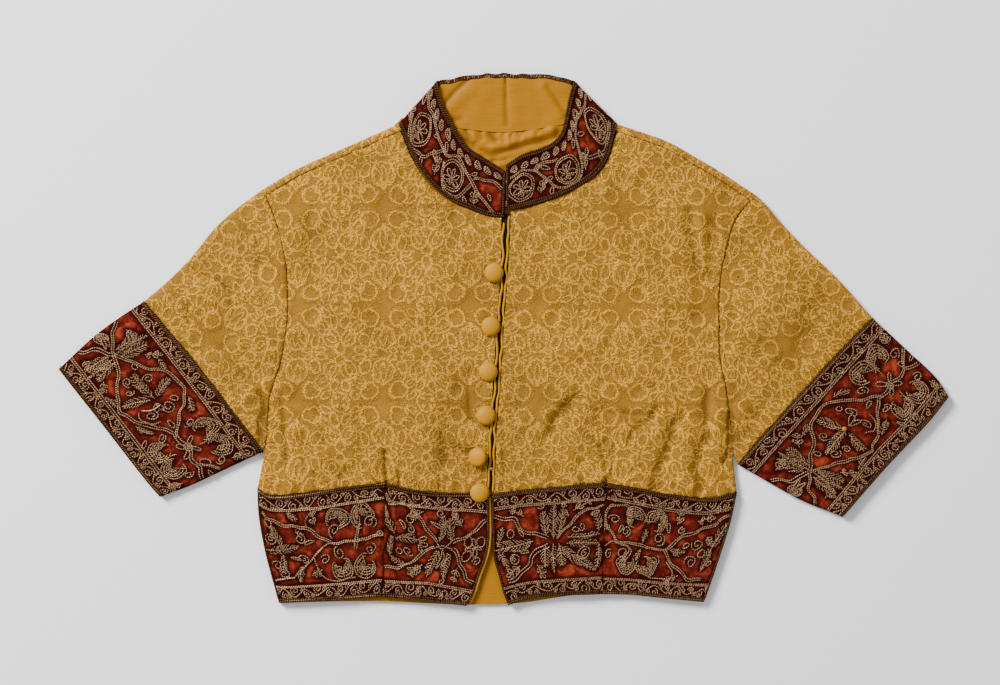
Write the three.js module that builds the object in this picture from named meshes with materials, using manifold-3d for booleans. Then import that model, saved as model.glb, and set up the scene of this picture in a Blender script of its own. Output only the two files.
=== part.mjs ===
// Embroidered short jacket, buttoned and laid flat on its back.
// Ochre figured silk, with collar, cuffs and waistband of rust velvet covered in couched cord.
// X runs across the chest (the wearer's left is +X), Y runs from hem to collar, Z is up.
// The back lies on the table at z = 0, and the fronts and the upper halves of the sleeves lie on it.
import * as THREE from 'three';
import { mergeVertices } from 'three/addons/utils/BufferGeometryUtils.js';
import Module from 'manifold-3d';

const wasm = await Module();
wasm.setup();

// Cloth and levels, in millimetres.
const SEAM_GAP = 0.3; // between the cut edges of two pieces that are sewn together
const CLOTH_WALL = 2.0; // silk, interlining and lining together
const BAND_WALL = 2.6; // velvet on canvas, packed with cord
const LINING_WALL = 1.0;
const CLOTH_LEVEL = 7.8; // outer face of the upper layer over the table
const BAND_LEVEL = 8.2;
const LINING_FLOOR = BAND_WALL + SEAM_GAP;
const FOLD_REACH = 6.0; // how far in from a fold the cloth is still rounding over
const FOLD_MIDDLE = 4.1; // height of a fold's outermost line
const FOLD_STOPS = [0, 0.6, 2.2, FOLD_REACH];
const SHOULDER_SEAM_IN = 7.0; // the back comes over the shoulder to a seam this far down the front

// How many straight steps each seam is drawn with. Pieces that share a seam share its steps.
const NECK_STEPS = 10;
const SHOULDER_STEPS = 8;
const ARMHOLE_STEPS = 10;
const SIDE_STEPS = 4;
const PANEL_STEPS = 9; // waistband, one panel from centre front to dart or from dart to side
const BACK_NECK_STEPS = 10;
const COLLAR_ROWS = 4;

// Seam and edge lines of each side, as laid out. The two sides differ, as soft cloth does.
const RIGHT = {
  centreFront: [
    { x: -14, y: -147 }, { x: -12.5, y: -118.5 }, { x: -11, y: -86 }, { x: -8, y: -52.5 },
    { x: -4, y: 14 }, { x: -1.5, y: 47 }, { x: 0.5, y: 85 }, { x: 0.5, y: 116.5 },
  ],
  neck: [
    { x: 0.5, y: 116.5 }, { x: -13, y: 117.5 }, { x: -31, y: 124 }, { x: -49, y: 131.5 },
    { x: -66, y: 144 }, { x: -78.5, y: 160 }, { x: -87.5, y: 176 }, { x: -94.5, y: 192.5 },
    { x: -100, y: 205 },
  ],
  shoulder: [
    { x: -100, y: 205 }, { x: -127, y: 193 }, { x: -161, y: 178 }, { x: -195, y: 163 },
    { x: -228.5, y: 143 },
  ],
  sleeveFold: [
    { x: -228.5, y: 143 }, { x: -252, y: 126 }, { x: -274, y: 106.5 }, { x: -298, y: 77 },
    { x: -320.5, y: 54.5 }, { x: -341.5, y: 36.5 },
  ],
  cuffFold: [{ x: -341.5, y: 36.5 }, { x: -366, y: 20.5 }, { x: -389, y: 3.5 }, { x: -423, y: -28 }],
  cuffSeam: [{ x: -341.5, y: 36.5 }, { x: -285.5, y: -31 }, { x: -228.2, y: -106.5 }],
  cuffHem: [{ x: -423, y: -28 }, { x: -376.5, y: -87 }, { x: -340, y: -134 }, { x: -326.5, y: -149.5 }],
  cuffUnder: [
    { x: -228.2, y: -106.5 }, { x: -263.5, y: -123 }, { x: -298, y: -139 }, { x: -326.5, y: -149.5 },
  ],
  underarm: [{ x: -225.5, y: -95.5 }, { x: -228.2, y: -106.5 }],
  armhole: [
    { x: -228.5, y: 143 }, { x: -216, y: 110.5 }, { x: -208.5, y: 81 }, { x: -205.5, y: 53.5 },
    { x: -206.5, y: 11 }, { x: -211.5, y: -19.5 }, { x: -222.5, y: -56.5 }, { x: -225.5, y: -95.5 },
  ],
  side: [{ x: -225.5, y: -95.5 }, { x: -227.2, y: -107 }, { x: -229.5, y: -118.5 }, { x: -234, y: -141 }],
  bandSide: [
    { x: -234, y: -141 }, { x: -232.5, y: -167.5 }, { x: -226.5, y: -201 }, { x: -213.5, y: -250.5 },
  ],
  waistCentre: [
    { x: -14, y: -147 }, { x: -30, y: -146 }, { x: -55.5, y: -146 }, { x: -89, y: -142.5 },
    { x: -111.5, y: -136.5 },
  ],
  waistSide: [
    { x: -111.5, y: -136.5 }, { x: -134.5, y: -139 }, { x: -160, y: -142 }, { x: -185, y: -145.5 },
    { x: -206.5, y: -148 }, { x: -223.5, y: -147.5 }, { x: -234, y: -141 },
  ],
  bandFront: [
    { x: -14, y: -147 }, { x: -14, y: -195 }, { x: -17.5, y: -209.5 }, { x: -22.5, y: -223 },
    { x: -28, y: -240 }, { x: -34.5, y: -253 },
  ],
  hemCentre: [
    { x: -34.5, y: -253 }, { x: -55.5, y: -250.5 }, { x: -80.5, y: -247.5 }, { x: -114.5, y: -244.5 },
  ],
  hemSide: [
    { x: -114.5, y: -244.5 }, { x: -131.5, y: -245.5 }, { x: -155.5, y: -247.5 },
    { x: -213.5, y: -250.5 },
  ],
  dart: [{ x: -111.5, y: -136.5 }, { x: -113.5, y: -190 }, { x: -114.5, y: -244.5 }],
  collarTop: [
    { x: 1.5, y: 160 }, { x: -4.5, y: 164 }, { x: -20.5, y: 174.5 }, { x: -34.5, y: 184 },
    { x: -44, y: 198 }, { x: -52.5, y: 214 }, { x: -59.5, y: 229.5 }, { x: -63, y: 246 },
  ],
};
const LEFT = {
  centreFront: [
    { x: -11.5, y: -147.5 }, { x: -10, y: -118.5 }, { x: -9, y: -86 }, { x: -6, y: -52.5 },
    { x: -2, y: 14 }, { x: 0.5, y: 47 }, { x: 3, y: 85 }, { x: 4.5, y: 123 },
  ],
  neck: [
    { x: 4.5, y: 123 }, { x: 19.5, y: 126 }, { x: 39.5, y: 131.5 }, { x: 58, y: 139 },
    { x: 74.5, y: 147.5 }, { x: 89, y: 158 }, { x: 98.5, y: 171 }, { x: 103.5, y: 187.5 },
    { x: 108, y: 205 },
  ],
  shoulder: [
    { x: 108, y: 205 }, { x: 135.5, y: 196 }, { x: 158, y: 187.5 }, { x: 181, y: 174.5 },
    { x: 204, y: 161 }, { x: 240, y: 137.5 },
  ],
  sleeveFold: [
    { x: 240, y: 137.5 }, { x: 249.5, y: 128.5 }, { x: 261, y: 114.5 }, { x: 283.5, y: 90.5 },
    { x: 318, y: 57.5 }, { x: 351, y: 20.5 },
  ],
  cuffFold: [{ x: 351, y: 20.5 }, { x: 386, y: -12 }, { x: 412, y: -37 }, { x: 423, y: -54.5 }],
  cuffSeam: [{ x: 351, y: 20.5 }, { x: 314, y: -17.5 }, { x: 262.5, y: -73.5 }, { x: 222.5, y: -118.5 }],
  cuffHem: [{ x: 423, y: -54.5 }, { x: 405, y: -77.5 }, { x: 366, y: -119 }, { x: 322.5, y: -168.5 }],
  cuffUnder: [
    { x: 222.5, y: -118.5 }, { x: 246.5, y: -132.5 }, { x: 282.5, y: -152.5 }, { x: 322.5, y: -168.5 },
  ],
  underarm: [{ x: 218, y: -104 }, { x: 222.5, y: -118.5 }],
  armhole: [
    { x: 240, y: 137.5 }, { x: 221, y: 114.5 }, { x: 212.5, y: 87 }, { x: 206.5, y: 59.5 },
    { x: 205, y: 20 }, { x: 206, y: -18 }, { x: 211.5, y: -45 }, { x: 215, y: -71 }, { x: 218, y: -104 },
  ],
  side: [{ x: 218, y: -104 }, { x: 219, y: -119 }, { x: 222, y: -145 }],
  bandSide: [{ x: 222, y: -145 }, { x: 216, y: -172.5 }, { x: 204.5, y: -209.5 }, { x: 190.5, y: -249.5 }],
  waistCentre: [
    { x: -11.5, y: -147.5 }, { x: 17.5, y: -143.5 }, { x: 52, y: -140.5 }, { x: 77.5, y: -138 },
    { x: 97.5, y: -136.5 },
  ],
  waistSide: [
    { x: 97.5, y: -136.5 }, { x: 111.5, y: -139 }, { x: 136.5, y: -143.5 }, { x: 162, y: -148 },
    { x: 196, y: -151 }, { x: 209.5, y: -148.5 }, { x: 222, y: -145 },
  ],
  bandFront: [
    { x: -11.5, y: -147.5 }, { x: -10, y: -199 }, { x: -9, y: -209.5 }, { x: -5, y: -223 },
    { x: -0.5, y: -240 }, { x: 4.5, y: -252.5 },
  ],
  hemCentre: [{ x: 4.5, y: -252.5 }, { x: 23.5, y: -246.5 }, { x: 43, y: -244 }, { x: 94.5, y: -242 }],
  hemSide: [{ x: 94.5, y: -242 }, { x: 120, y: -242.5 }, { x: 145, y: -245 }, { x: 190.5, y: -249.5 }],
  dart: [{ x: 97.5, y: -136.5 }, { x: 95.5, y: -190 }, { x: 94.5, y: -242 }],
  collarTop: [
    { x: 5, y: 166 }, { x: 17.5, y: 175.5 }, { x: 33, y: 181 }, { x: 47, y: 187.5 },
    { x: 55.5, y: 198 }, { x: 59.5, y: 216 }, { x: 63, y: 233 }, { x: 67, y: 246 },
  ],
};
// The back's own lines, from the wearer's right to left.
const BACK_NECK = [
  { x: -100, y: 205 }, { x: -70, y: 204 }, { x: -44, y: 202 }, { x: -18.5, y: 199 }, { x: 4, y: 198.5 },
  { x: 31, y: 202 }, { x: 55.5, y: 207 }, { x: 82, y: 208.5 }, { x: 108, y: 205 },
];
const BACK_COLLAR_TOP = [
  { x: -63, y: 246 }, { x: -52, y: 246 }, { x: -36.5, y: 249.5 }, { x: 2, y: 251.5 },
  { x: 42.5, y: 250.5 }, { x: 67, y: 246 },
];
const BACK_WAIST = [
  { x: -234, y: -141 }, { x: -120, y: -147 }, { x: 0, y: -149 }, { x: 120, y: -148 }, { x: 222, y: -145 },
];
const BACK_HEM = [
  { x: -213.5, y: -250.5 }, { x: -155, y: -249 }, { x: -114, y: -249 }, { x: -40, y: -252 },
  { x: 15, y: -250.5 },
  { x: 60, y: -244 }, { x: 94.5, y: -241 }, { x: 148, y: -244 }, { x: 190.5, y: -249.5 },
];

// Creases and soft ridges of the upper layer: a straight run, how wide it is, and its rise or fall.
const FOLDS = [
  { x0: 68, y0: -54, x1: 46, y1: -88, width: 9, rise: -1.5 },
  { x0: 78, y0: -60, x1: 58, y1: -96, width: 11, rise: 1.3 },
  { x0: 146, y0: -70, x1: 128, y1: -88, width: 8, rise: -1.3 },
  { x0: 160, y0: -98, x1: 144, y1: -134, width: 8, rise: -1.4 },
  { x0: 174, y0: -98, x1: 164, y1: -136, width: 9, rise: 1.4 },
  { x0: 187, y0: -98, x1: 184, y1: -134, width: 8, rise: -1.5 },
  { x0: 175, y0: 122, x1: 185, y1: 70, width: 7, rise: -1.4 },
  { x0: 186, y0: 122, x1: 191, y1: 70, width: 6, rise: 1.2 },
  { x0: 198, y0: 112, x1: 196, y1: 64, width: 6, rise: -1.2 },
  { x0: 208, y0: -84, x1: 211, y1: -116, width: 9, rise: -2.4 },
  { x0: 240, y0: -70, x1: 222, y1: -98, width: 8, rise: -1.6 },
  { x0: 262, y0: 60, x1: 240, y1: 8, width: 12, rise: 1.2 },
  { x0: 300, y0: 40, x1: 270, y1: -20, width: 14, rise: -1.2 },
  { x0: 98, y0: -108, x1: 97.5, y1: -138, width: 4, rise: -1.5 },
  { x0: 88, y0: -112, x1: 84, y1: -138, width: 7, rise: 1.0 },
  { x0: -112, y0: -108, x1: -111.5, y1: -138, width: 4, rise: -1.5 },
  { x0: -122, y0: -112, x1: -126, y1: -138, width: 7, rise: 1.0 },
  { x0: -148, y0: -62, x1: -132, y1: -82, width: 8, rise: -1.3 },
  { x0: -158, y0: -74, x1: -142, y1: -96, width: 10, rise: 1.2 },
  { x0: -206, y0: -88, x1: -209, y1: -136, width: 8, rise: -1.6 },
  { x0: -194, y0: -86, x1: -198, y1: -136, width: 9, rise: 1.4 },
  { x0: -224, y0: -56, x1: -229, y1: -92, width: 8, rise: -2.4 },
  { x0: -216, y0: -20, x1: -254, y1: -47, width: 9, rise: -1.3 },
  { x0: -230, y0: -44, x1: -258, y1: -66, width: 11, rise: 1.2 },
  { x0: -298, y0: 70, x1: -272, y1: 57, width: 8, rise: -1.5 },
  { x0: -272, y0: 57, x1: -256, y1: 36, width: 8, rise: -1.5 },
  { x0: -284, y0: 52, x1: -268, y1: 34, width: 10, rise: 1.2 },
  { x0: -196, y0: 118, x1: -190, y1: 60, width: 9, rise: 1.1 },
  { x0: -186, y0: 112, x1: -182, y1: 66, width: 7, rise: -1.1 },
  { x0: -60, y0: 60, x1: -90, y1: -10, width: 22, rise: 0.9 },
  { x0: 60, y0: 70, x1: 92, y1: -6, width: 24, rise: 0.9 },
  { x0: -40, y0: -60, x1: -60, y1: -120, width: 16, rise: -0.9 },
];

// Covered buttons, down the right front's edge.
const BUTTON_RADIUS = 9.2;
const BUTTON_DOME = [
  { radius: 0, height: 0 }, { radius: 2.4, height: 0 }, { radius: 2.4, height: 1.6 },
  { radius: 8.2, height: 1.6 }, { radius: BUTTON_RADIUS, height: 2.6 }, { radius: 8.9, height: 3.8 },
  { radius: 7.2, height: 5.6 }, { radius: 4.0, height: 6.9 }, { radius: 0, height: 7.3 },
];
const BUTTON_SIDES = 12;
const BUTTONS = [
  { x: -9, y: 63.5, tilt: 0, lift: 0 },
  { x: -12, y: 12.5, tilt: 0, lift: 0 },
  { x: -14.5, y: -30.5, tilt: 0, lift: 0 },
  { x: -16.5, y: -72, tilt: 0, lift: 0 },
  { x: -23.5, y: -111.5, tilt: -26, lift: 1.9 },
  { x: -22.5, y: -145.5, tilt: 0, lift: 0.7 },
];

const STRIP_REACH = 10; // how far the shoulder strip's lower layer runs in over the flat back
const STRIP_OVERLAP = 0.5; // and past the neck seam's end, so that the two become one body
const PIPING_RADIUS = 1.1;
const PIPING_ROOM = 2 * PIPING_RADIUS + 0.4; // the cloth stops this far back from the finished edge
const PIPING_STEPS = 24;
const PIPING_SIDES = 6;
const UNDERLAP_WIDTH = 22;
const UNDERLAP_FLOOR = 4.3;
const COLLAR_CROWN = 1.4; // how far the stiff collar bows up between its two edges
const HEM_FALL = 0.7; // the band's lower edge settles towards the back

// A seam drawn with equal straight steps. The result gives the point at a share of its length.
function seamLine(rows, steps) {
  const points = rows.map(({ x, y }) => new THREE.Vector3(x, y, 0));
  const stops = new THREE.CatmullRomCurve3(points, false, 'centripetal').getSpacedPoints(steps);
  const line = (share) => {
    const place = THREE.MathUtils.clamp(share, 0, 1) * steps;
    const index = Math.min(Math.floor(place), steps - 1);
    return stops[index].clone().lerp(stops[index + 1], place - index);
  };
  line.reach = stops.slice(1).reduce((sum, stop, index) => sum + stop.distanceTo(stops[index]), 0);
  line.stops = stops;
  return line;
}

// Two lines end to end, the first taking the given share of the steps.
function joined(first, second, share) {
  return (place) => (place < share ? first(place / share) : second((place - share) / (1 - share)));
}

// The flat cut of a panel between four lines, as a function of u (across) and v (up).
function patch(lower, upper, start, end) {
  return (u, v) => {
    const across = lower(u).lerp(upper(u), v);
    const along = start(v).lerp(end(v), u);
    const corners = lower(0).lerp(lower(1), u).lerp(upper(0).lerp(upper(1), u), v);
    return across.add(along).sub(corners);
  };
}

// Moves a closed run of points inwards by an amount, square to the run.
function insetLoop(points, amount) {
  const count = points.length;
  const area = points.reduce((sum, point, index) => {
    const next = points[(index + 1) % count];
    return sum + point.x * next.y - next.x * point.y;
  }, 0);
  const turn = Math.sign(area);
  return points.map((point, index) => {
    const before = point.clone().sub(points[(index + count - 1) % count]).normalize();
    const after = points[(index + 1) % count].clone().sub(point).normalize();
    const inward = new THREE.Vector3(-before.y - after.y, before.x + after.x, 0);
    const halfTurn = Math.max(inward.length() / 2, 0.5);
    return point.clone().add(inward.normalize().multiplyScalar((turn * amount) / halfTurn));
  });
}

// The row and column of every point round the border of a grid, in order.
function borderOf(rowCount, columnCount) {
  const border = [];
  for (let column = 0; column < columnCount - 1; column += 1) border.push([0, column]);
  for (let row = 0; row < rowCount - 1; row += 1) border.push([row, columnCount - 1]);
  for (let column = columnCount - 1; column > 0; column -= 1) border.push([rowCount - 1, column]);
  for (let row = rowCount - 1; row > 0; row -= 1) border.push([row, 0]);
  return border;
}

// Draws the border of a flat grid in by half the seam gap.
function drawnIn(plan) {
  const border = borderOf(plan.length, plan[0].length);
  const loop = insetLoop(border.map(([row, column]) => plan[row][column]), SEAM_GAP / 2);
  border.forEach(([row, column], index) => {
    plan[row][column] = loop[index];
  });
  return plan;
}

function cutGrid(cut, columns, rows) {
  return drawnIn(rows.map((v) => columns.map((u) => cut(u, v))));
}

// A closed wall between an outer and an inner grid. A ring is joined to itself across its columns.
function wall(outer, inner, isRing = false) {
  const rowCount = outer.length;
  const columnCount = outer[0].length;
  const positions = [...outer.flat(), ...inner.flat()].flatMap(({ x, y, z }) => [x, y, z]);
  const innerStart = rowCount * columnCount;
  const indices = [];
  const face = (a, b, c, d) => indices.push(a, b, c, a, c, d);
  const at = (row, column) => row * columnCount + (column % columnCount);
  const lastColumn = isRing ? columnCount : columnCount - 1;
  for (let row = 0; row < rowCount - 1; row += 1) {
    for (let column = 0; column < lastColumn; column += 1) {
      const corners = [at(row, column), at(row, column + 1), at(row + 1, column + 1), at(row + 1, column)];
      face(...corners);
      face(...corners.reverse().map((corner) => corner + innerStart));
    }
  }
  const rim = (from, to) => face(to, from, from + innerStart, to + innerStart);
  for (let column = 0; column < lastColumn; column += 1) {
    rim(at(0, column), at(0, column + 1));
    rim(at(rowCount - 1, column + 1), at(rowCount - 1, column));
  }
  if (!isRing) {
    for (let row = 0; row < rowCount - 1; row += 1) {
      rim(at(row + 1, 0), at(row, 0));
      rim(at(row, columnCount - 1), at(row + 1, columnCount - 1));
    }
  }
  const geometry = new THREE.BufferGeometry();
  geometry.setAttribute('position', new THREE.Float32BufferAttribute(positions, 3));
  geometry.setIndex(volumeOf(positions, indices) > 0 ? indices : indices.reverse());
  return geometry;
}

function volumeOf(positions, indices) {
  const corner = (index) => new THREE.Vector3().fromArray(positions, 3 * indices[index]);
  let volume = 0;
  for (let index = 0; index < indices.length; index += 3) {
    volume += corner(index).dot(corner(index + 1).cross(corner(index + 2)));
  }
  return volume;
}

function slab(points, thickness, floor) {
  const corners = insetLoop(points, SEAM_GAP / 2).map(({ x, y }) => new THREE.Vector2(x, y));
  const outline = new THREE.Shape(corners);
  const geometry = new THREE.ExtrudeGeometry(outline, { depth: thickness, bevelEnabled: false });
  return geometry.translate(0, 0, floor);
}

function distanceToRun(x, y, from, to) {
  const runX = to.x - from.x;
  const runY = to.y - from.y;
  const share = ((x - from.x) * runX + (y - from.y) * runY) / (runX * runX + runY * runY);
  const held = THREE.MathUtils.clamp(share, 0, 1);
  return Math.hypot(x - from.x - held * runX, y - from.y - held * runY);
}

// How far the cloth at a place lies above or below its level.
function foldRise(x, y) {
  return FOLDS.reduce((sum, { x0, y0, x1, y1, width, rise }) => {
    const distance = distanceToRun(x, y, { x: x0, y: y0 }, { x: x1, y: y1 });
    return sum + rise * Math.exp(-((distance / width) ** 2));
  }, 0);
}

// 0 at a fold's outermost line, 1 from the reach of the fold inwards, along a quarter ellipse.
function rounding(distance) {
  return Math.sqrt(1 - (1 - Math.min(distance / FOLD_REACH, 1)) ** 2);
}

// Heights of a folded wall's two faces at a distance in from its fold, and how far in from there
// the inner face's point lies. The upper layer rises to its crown, the lower one falls to the table.
function foldedFaces(distance, crown, thickness, isUpper) {
  const round = rounding(distance);
  const outer = isUpper ? crown : 0;
  const inner = isUpper ? crown - thickness : thickness;
  return {
    outer: FOLD_MIDDLE + (outer - FOLD_MIDDLE) * round,
    inner: FOLD_MIDDLE + (inner - FOLD_MIDDLE) * round,
    inward: thickness * (1 - Math.min(distance / FOLD_REACH, 1)),
  };
}

// All seam lines of one side, drawn in steps.
function seamsOf(side) {
  const seams = {
    centreFront: seamLine(side.centreFront, ARMHOLE_STEPS),
    neck: seamLine(side.neck, NECK_STEPS),
    shoulder: seamLine(side.shoulder, SHOULDER_STEPS),
    sleeveFold: seamLine(side.sleeveFold, 7),
    cuffFold: seamLine(side.cuffFold, 5),
    cuffSeam: seamLine(side.cuffSeam, ARMHOLE_STEPS),
    cuffHem: seamLine(side.cuffHem, ARMHOLE_STEPS),
    cuffUnder: seamLine(side.cuffUnder, 5),
    underarm: seamLine(side.underarm, 1),
    armhole: seamLine(side.armhole, ARMHOLE_STEPS),
    side: seamLine(side.side, SIDE_STEPS),
    bandSide: seamLine(side.bandSide, 5),
    waistCentre: seamLine(side.waistCentre, PANEL_STEPS),
    waistSide: seamLine(side.waistSide, PANEL_STEPS),
    bandFront: seamLine(side.bandFront, 5),
    hemCentre: seamLine(side.hemCentre, PANEL_STEPS),
    hemSide: seamLine(side.hemSide, PANEL_STEPS),
    dart: seamLine(side.dart, 5),
    collarTop: seamLine(side.collarTop, NECK_STEPS),
  };
  const neckShare = 1 - SHOULDER_SEAM_IN / seams.neck.reach;
  const armShare = SHOULDER_SEAM_IN / seams.armhole.reach;
  const innerStep = seams.neck(neckShare).sub(seams.shoulder(0));
  const outerStep = seams.armhole(armShare).sub(seams.shoulder(1));
  seams.frontNeck = (share) => seams.neck(Math.min(share, neckShare));
  seams.frontArmhole = (share) => seams.armhole(Math.max(1 - share, armShare));
  seams.seamStep = (share) => innerStep.clone().lerp(outerStep, share);
  seams.shoulderSeam = (share) => seams.shoulder(share).add(seams.seamStep(share));
  return seams;
}

const right = seamsOf(RIGHT);
const left = seamsOf(LEFT);
const backNeck = seamLine(BACK_NECK, BACK_NECK_STEPS);
const backCollarTop = seamLine(BACK_COLLAR_TOP, BACK_NECK_STEPS);
const backWaist = seamLine(BACK_WAIST, 12);
const backHem = seamLine(BACK_HEM, 14);

const joinedEdges = [right, left].flatMap(({ underarm, side, bandSide }) => [underarm, side, bandSide]);

function distanceToSides(x, y) {
  return Math.min(...joinedEdges.flatMap(({ stops }) => stops.slice(1).map(
    (stop, index) => distanceToRun(x, y, stops[index], stop),
  )));
}

// A panel of the upper layer, which settles on to the layer under it at the sides.
function upperPanel(grid, level, thickness) {
  const edge = 2 * thickness + SEAM_GAP;
  const outer = grid.map((row) => row.map(({ x, y }) => {
    const crown = Math.max(level(x, y), edge);
    const height = edge + (crown - edge) * rounding(distanceToSides(x, y));
    return new THREE.Vector3(x, y, height);
  }));
  const inner = outer.map((row) => row.map(({ x, y, z }) => new THREE.Vector3(x, y, z - thickness)));
  return wall(outer, inner);
}

const steps = (count) => Array.from({ length: count + 1 }, (_, index) => index / count);
const clothLevel = (x, y) => CLOTH_LEVEL + foldRise(x, y);

function front(seams) {
  const neckSteps = NECK_STEPS / (NECK_STEPS + SHOULDER_STEPS);
  const sideRows = SIDE_STEPS + 1;
  const armholeRows = 2 * ARMHOLE_STEPS;
  const sideShare = sideRows / (sideRows + armholeRows);
  const waist = joined(seams.waistCentre, seams.waistSide, 0.5);
  const top = joined(seams.frontNeck, seams.shoulderSeam, neckSteps);
  const outside = joined((share) => seams.side(1 - share), seams.frontArmhole, sideShare);
  const inwards = Math.sign(seams.side(0).x);
  const waistCorner = waist(PIPING_ROOM / (2 * seams.waistCentre.reach));
  const neckCorner = seams.neck(PIPING_ROOM / seams.neck.reach);
  const corners = { 0: waistCorner, 1: neckCorner };
  const pipedEdge = (share) => seams.centreFront(share).add(new THREE.Vector3(inwards * PIPING_ROOM, 0, 0));
  const edge = (share) => (corners[share] ? corners[share].clone() : pipedEdge(share));
  const width = Math.abs(seams.side(1).x);
  const columns = steps(NECK_STEPS + SHOULDER_STEPS);
  columns.splice(-1, 1, ...FOLD_STOPS.map((stop) => 1 - stop / width).reverse());
  const flushWaist = (share) => (share === 0 ? edge(0) : waist(share));
  const flushTop = (share) => (share === 0 ? edge(1) : top(share));
  const cut = patch(flushWaist, flushTop, edge, outside);
  return upperPanel(cutGrid(cut, columns, steps(sideRows + armholeRows)), clothLevel, CLOTH_WALL);
}

// A waistband panel. Its lower edge settles towards the back.
function bandPanel(waist, hem, start, end, hasSideSeam) {
  const columns = steps(PANEL_STEPS);
  if (hasSideSeam) {
    const width = waist(0).distanceTo(waist(1));
    columns.splice(-1, 1, ...FOLD_STOPS.map((stop) => 1 - stop / width).reverse());
  }
  const grid = cutGrid(patch(hem, waist, start, end), columns, steps(5));
  const waistHeight = waist(0.5).y;
  const depth = waistHeight - hem(0.5).y;
  const level = (x, y) => {
    const down = THREE.MathUtils.clamp((waistHeight - y) / depth, 0, 1);
    return BAND_LEVEL + foldRise(x, y) * (1 - down) - HEM_FALL * down * down;
  };
  return upperPanel(grid, level, BAND_WALL);
}

function bandPanels(seams) {
  const upwards = (line) => (share) => line(1 - share);
  return {
    centre: bandPanel(
      seams.waistCentre, seams.hemCentre, upwards(seams.bandFront), upwards(seams.dart), false,
    ),
    side: bandPanel(
      seams.waistSide, seams.hemSide, upwards(seams.dart), upwards(seams.bandSide), true,
    ),
  };
}

// One place round a flattened tube: its distance from each fold sets the height of both layers.
function tubePlaces(length) {
  const nearFold = FOLD_STOPS.map((stop) => stop / length);
  const between = steps(ARMHOLE_STEPS).slice(1, -1);
  return [...nearFold, ...between, ...nearFold.map((share) => 1 - share).reverse()];
}

// A flattened tube with a fold at each side. Each section runs from the upper fold to the
// underarm on its upper layer, and back on its lower layer.
function flatTube(startLine, endLine, foldLine, underLine, sectionCount, level, thickness) {
  const cut = patch(startLine, endLine, foldLine, underLine);
  const rows = steps(sectionCount);
  const lengths = rows.map((v) => foldLine(v).distanceTo(underLine(v)));
  const places = lengths.map(tubePlaces);
  const plan = drawnIn(rows.map((v, row) => places[row].map((u) => cut(u, v))));
  const outer = [];
  const inner = [];
  plan.forEach((section, row) => {
    const last = section.length - 1;
    const faces = section.map((point, column) => {
      const distance = Math.min(places[row][column], 1 - places[row][column]) * lengths[row];
      const crown = Math.max(level(point.x, point.y), 2 * thickness + SEAM_GAP);
      const farFold = section[column < last / 2 ? last : 0];
      return [true, false].map((isUpper) => {
        const heights = foldedFaces(distance, crown, thickness, isUpper);
        const insidePoint = point.clone().lerp(farFold, heights.inward / lengths[row]);
        return { outer: point.clone().setZ(heights.outer), inner: insidePoint.setZ(heights.inner) };
      });
    });
    const upper = faces.map(([face]) => face);
    const lower = faces.slice(1, -1).map(([, face]) => face).reverse();
    outer.push([...upper, ...lower].map((face) => face.outer));
    inner.push([...upper, ...lower].map((face) => face.inner));
  });
  return wall(outer, inner, true);
}

function sleeve(seams) {
  return flatTube(
    seams.armhole, seams.cuffSeam, seams.sleeveFold, seams.underarm, 7, clothLevel, CLOTH_WALL,
  );
}

function cuff(seams) {
  return flatTube(
    seams.cuffSeam, seams.cuffHem, seams.cuffFold, seams.cuffUnder, 5, () => BAND_LEVEL, BAND_WALL,
  );
}

// The strip of the back that comes up round the shoulder fold and down to the shoulder seam.
// Its lower layer runs on over the edge of the flat back, which it becomes one piece with.
function shoulderStrip(seams) {
  const alongShoulder = seams.shoulder(1).sub(seams.shoulder(0)).normalize();
  const rows = [
    ...[STRIP_REACH, ...FOLD_STOPS.slice(1).reverse()].map((distance) => ({ distance, isUpper: false })),
    ...[...FOLD_STOPS, SHOULDER_SEAM_IN - SEAM_GAP / 2].map((distance) => ({ distance, isUpper: true })),
  ];
  const faces = rows.map(({ distance, isUpper }) => steps(SHOULDER_STEPS).map((share, column) => {
    const neckShift = isUpper ? SEAM_GAP / 2 : -STRIP_OVERLAP;
    const shift = { 0: neckShift, [SHOULDER_STEPS]: -SEAM_GAP / 2 }[column] ?? 0;
    const fold = seams.shoulder(share).addScaledVector(alongShoulder, shift);
    const inwards = seams.seamStep(share).normalize();
    const outer = fold.clone().addScaledVector(inwards, distance);
    const heights = foldedFaces(distance, clothLevel(outer.x, outer.y), CLOTH_WALL, isUpper);
    const inner = fold.addScaledVector(inwards, distance + heights.inward);
    return { outer: outer.setZ(heights.outer), inner: inner.setZ(heights.inner) };
  }));
  const outer = faces.map((row) => row.map((face) => face.outer));
  const inner = faces.map((row) => row.map((face) => face.inner));
  return wall(outer, inner);
}

// The back: a flat panel with both shoulder strips in one piece.
function back() {
  const shoulderEdge = (seams) => steps(SHOULDER_STEPS).map(
    (share) => seams.shoulder(share).addScaledVector(seams.seamStep(share).normalize(), STRIP_REACH - 1),
  );
  const armholeUp = (seams) => seams.armhole.stops.slice(1).reverse();
  const outline = [
    ...backWaist.stops,
    ...left.side.stops.slice(1, -1).reverse(),
    ...armholeUp(left),
    ...shoulderEdge(left).reverse(),
    ...backNeck.stops.slice().reverse(),
    ...shoulderEdge(right),
    ...armholeUp(right).reverse(),
    ...right.side.stops.slice(1, -1),
  ];
  const flat = solidOf(slab(outline, CLOTH_WALL, 0));
  const whole = flat.add(solidOf(shoulderStrip(right))).add(solidOf(shoulderStrip(left)));
  return geometryOf(whole);
}

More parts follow.
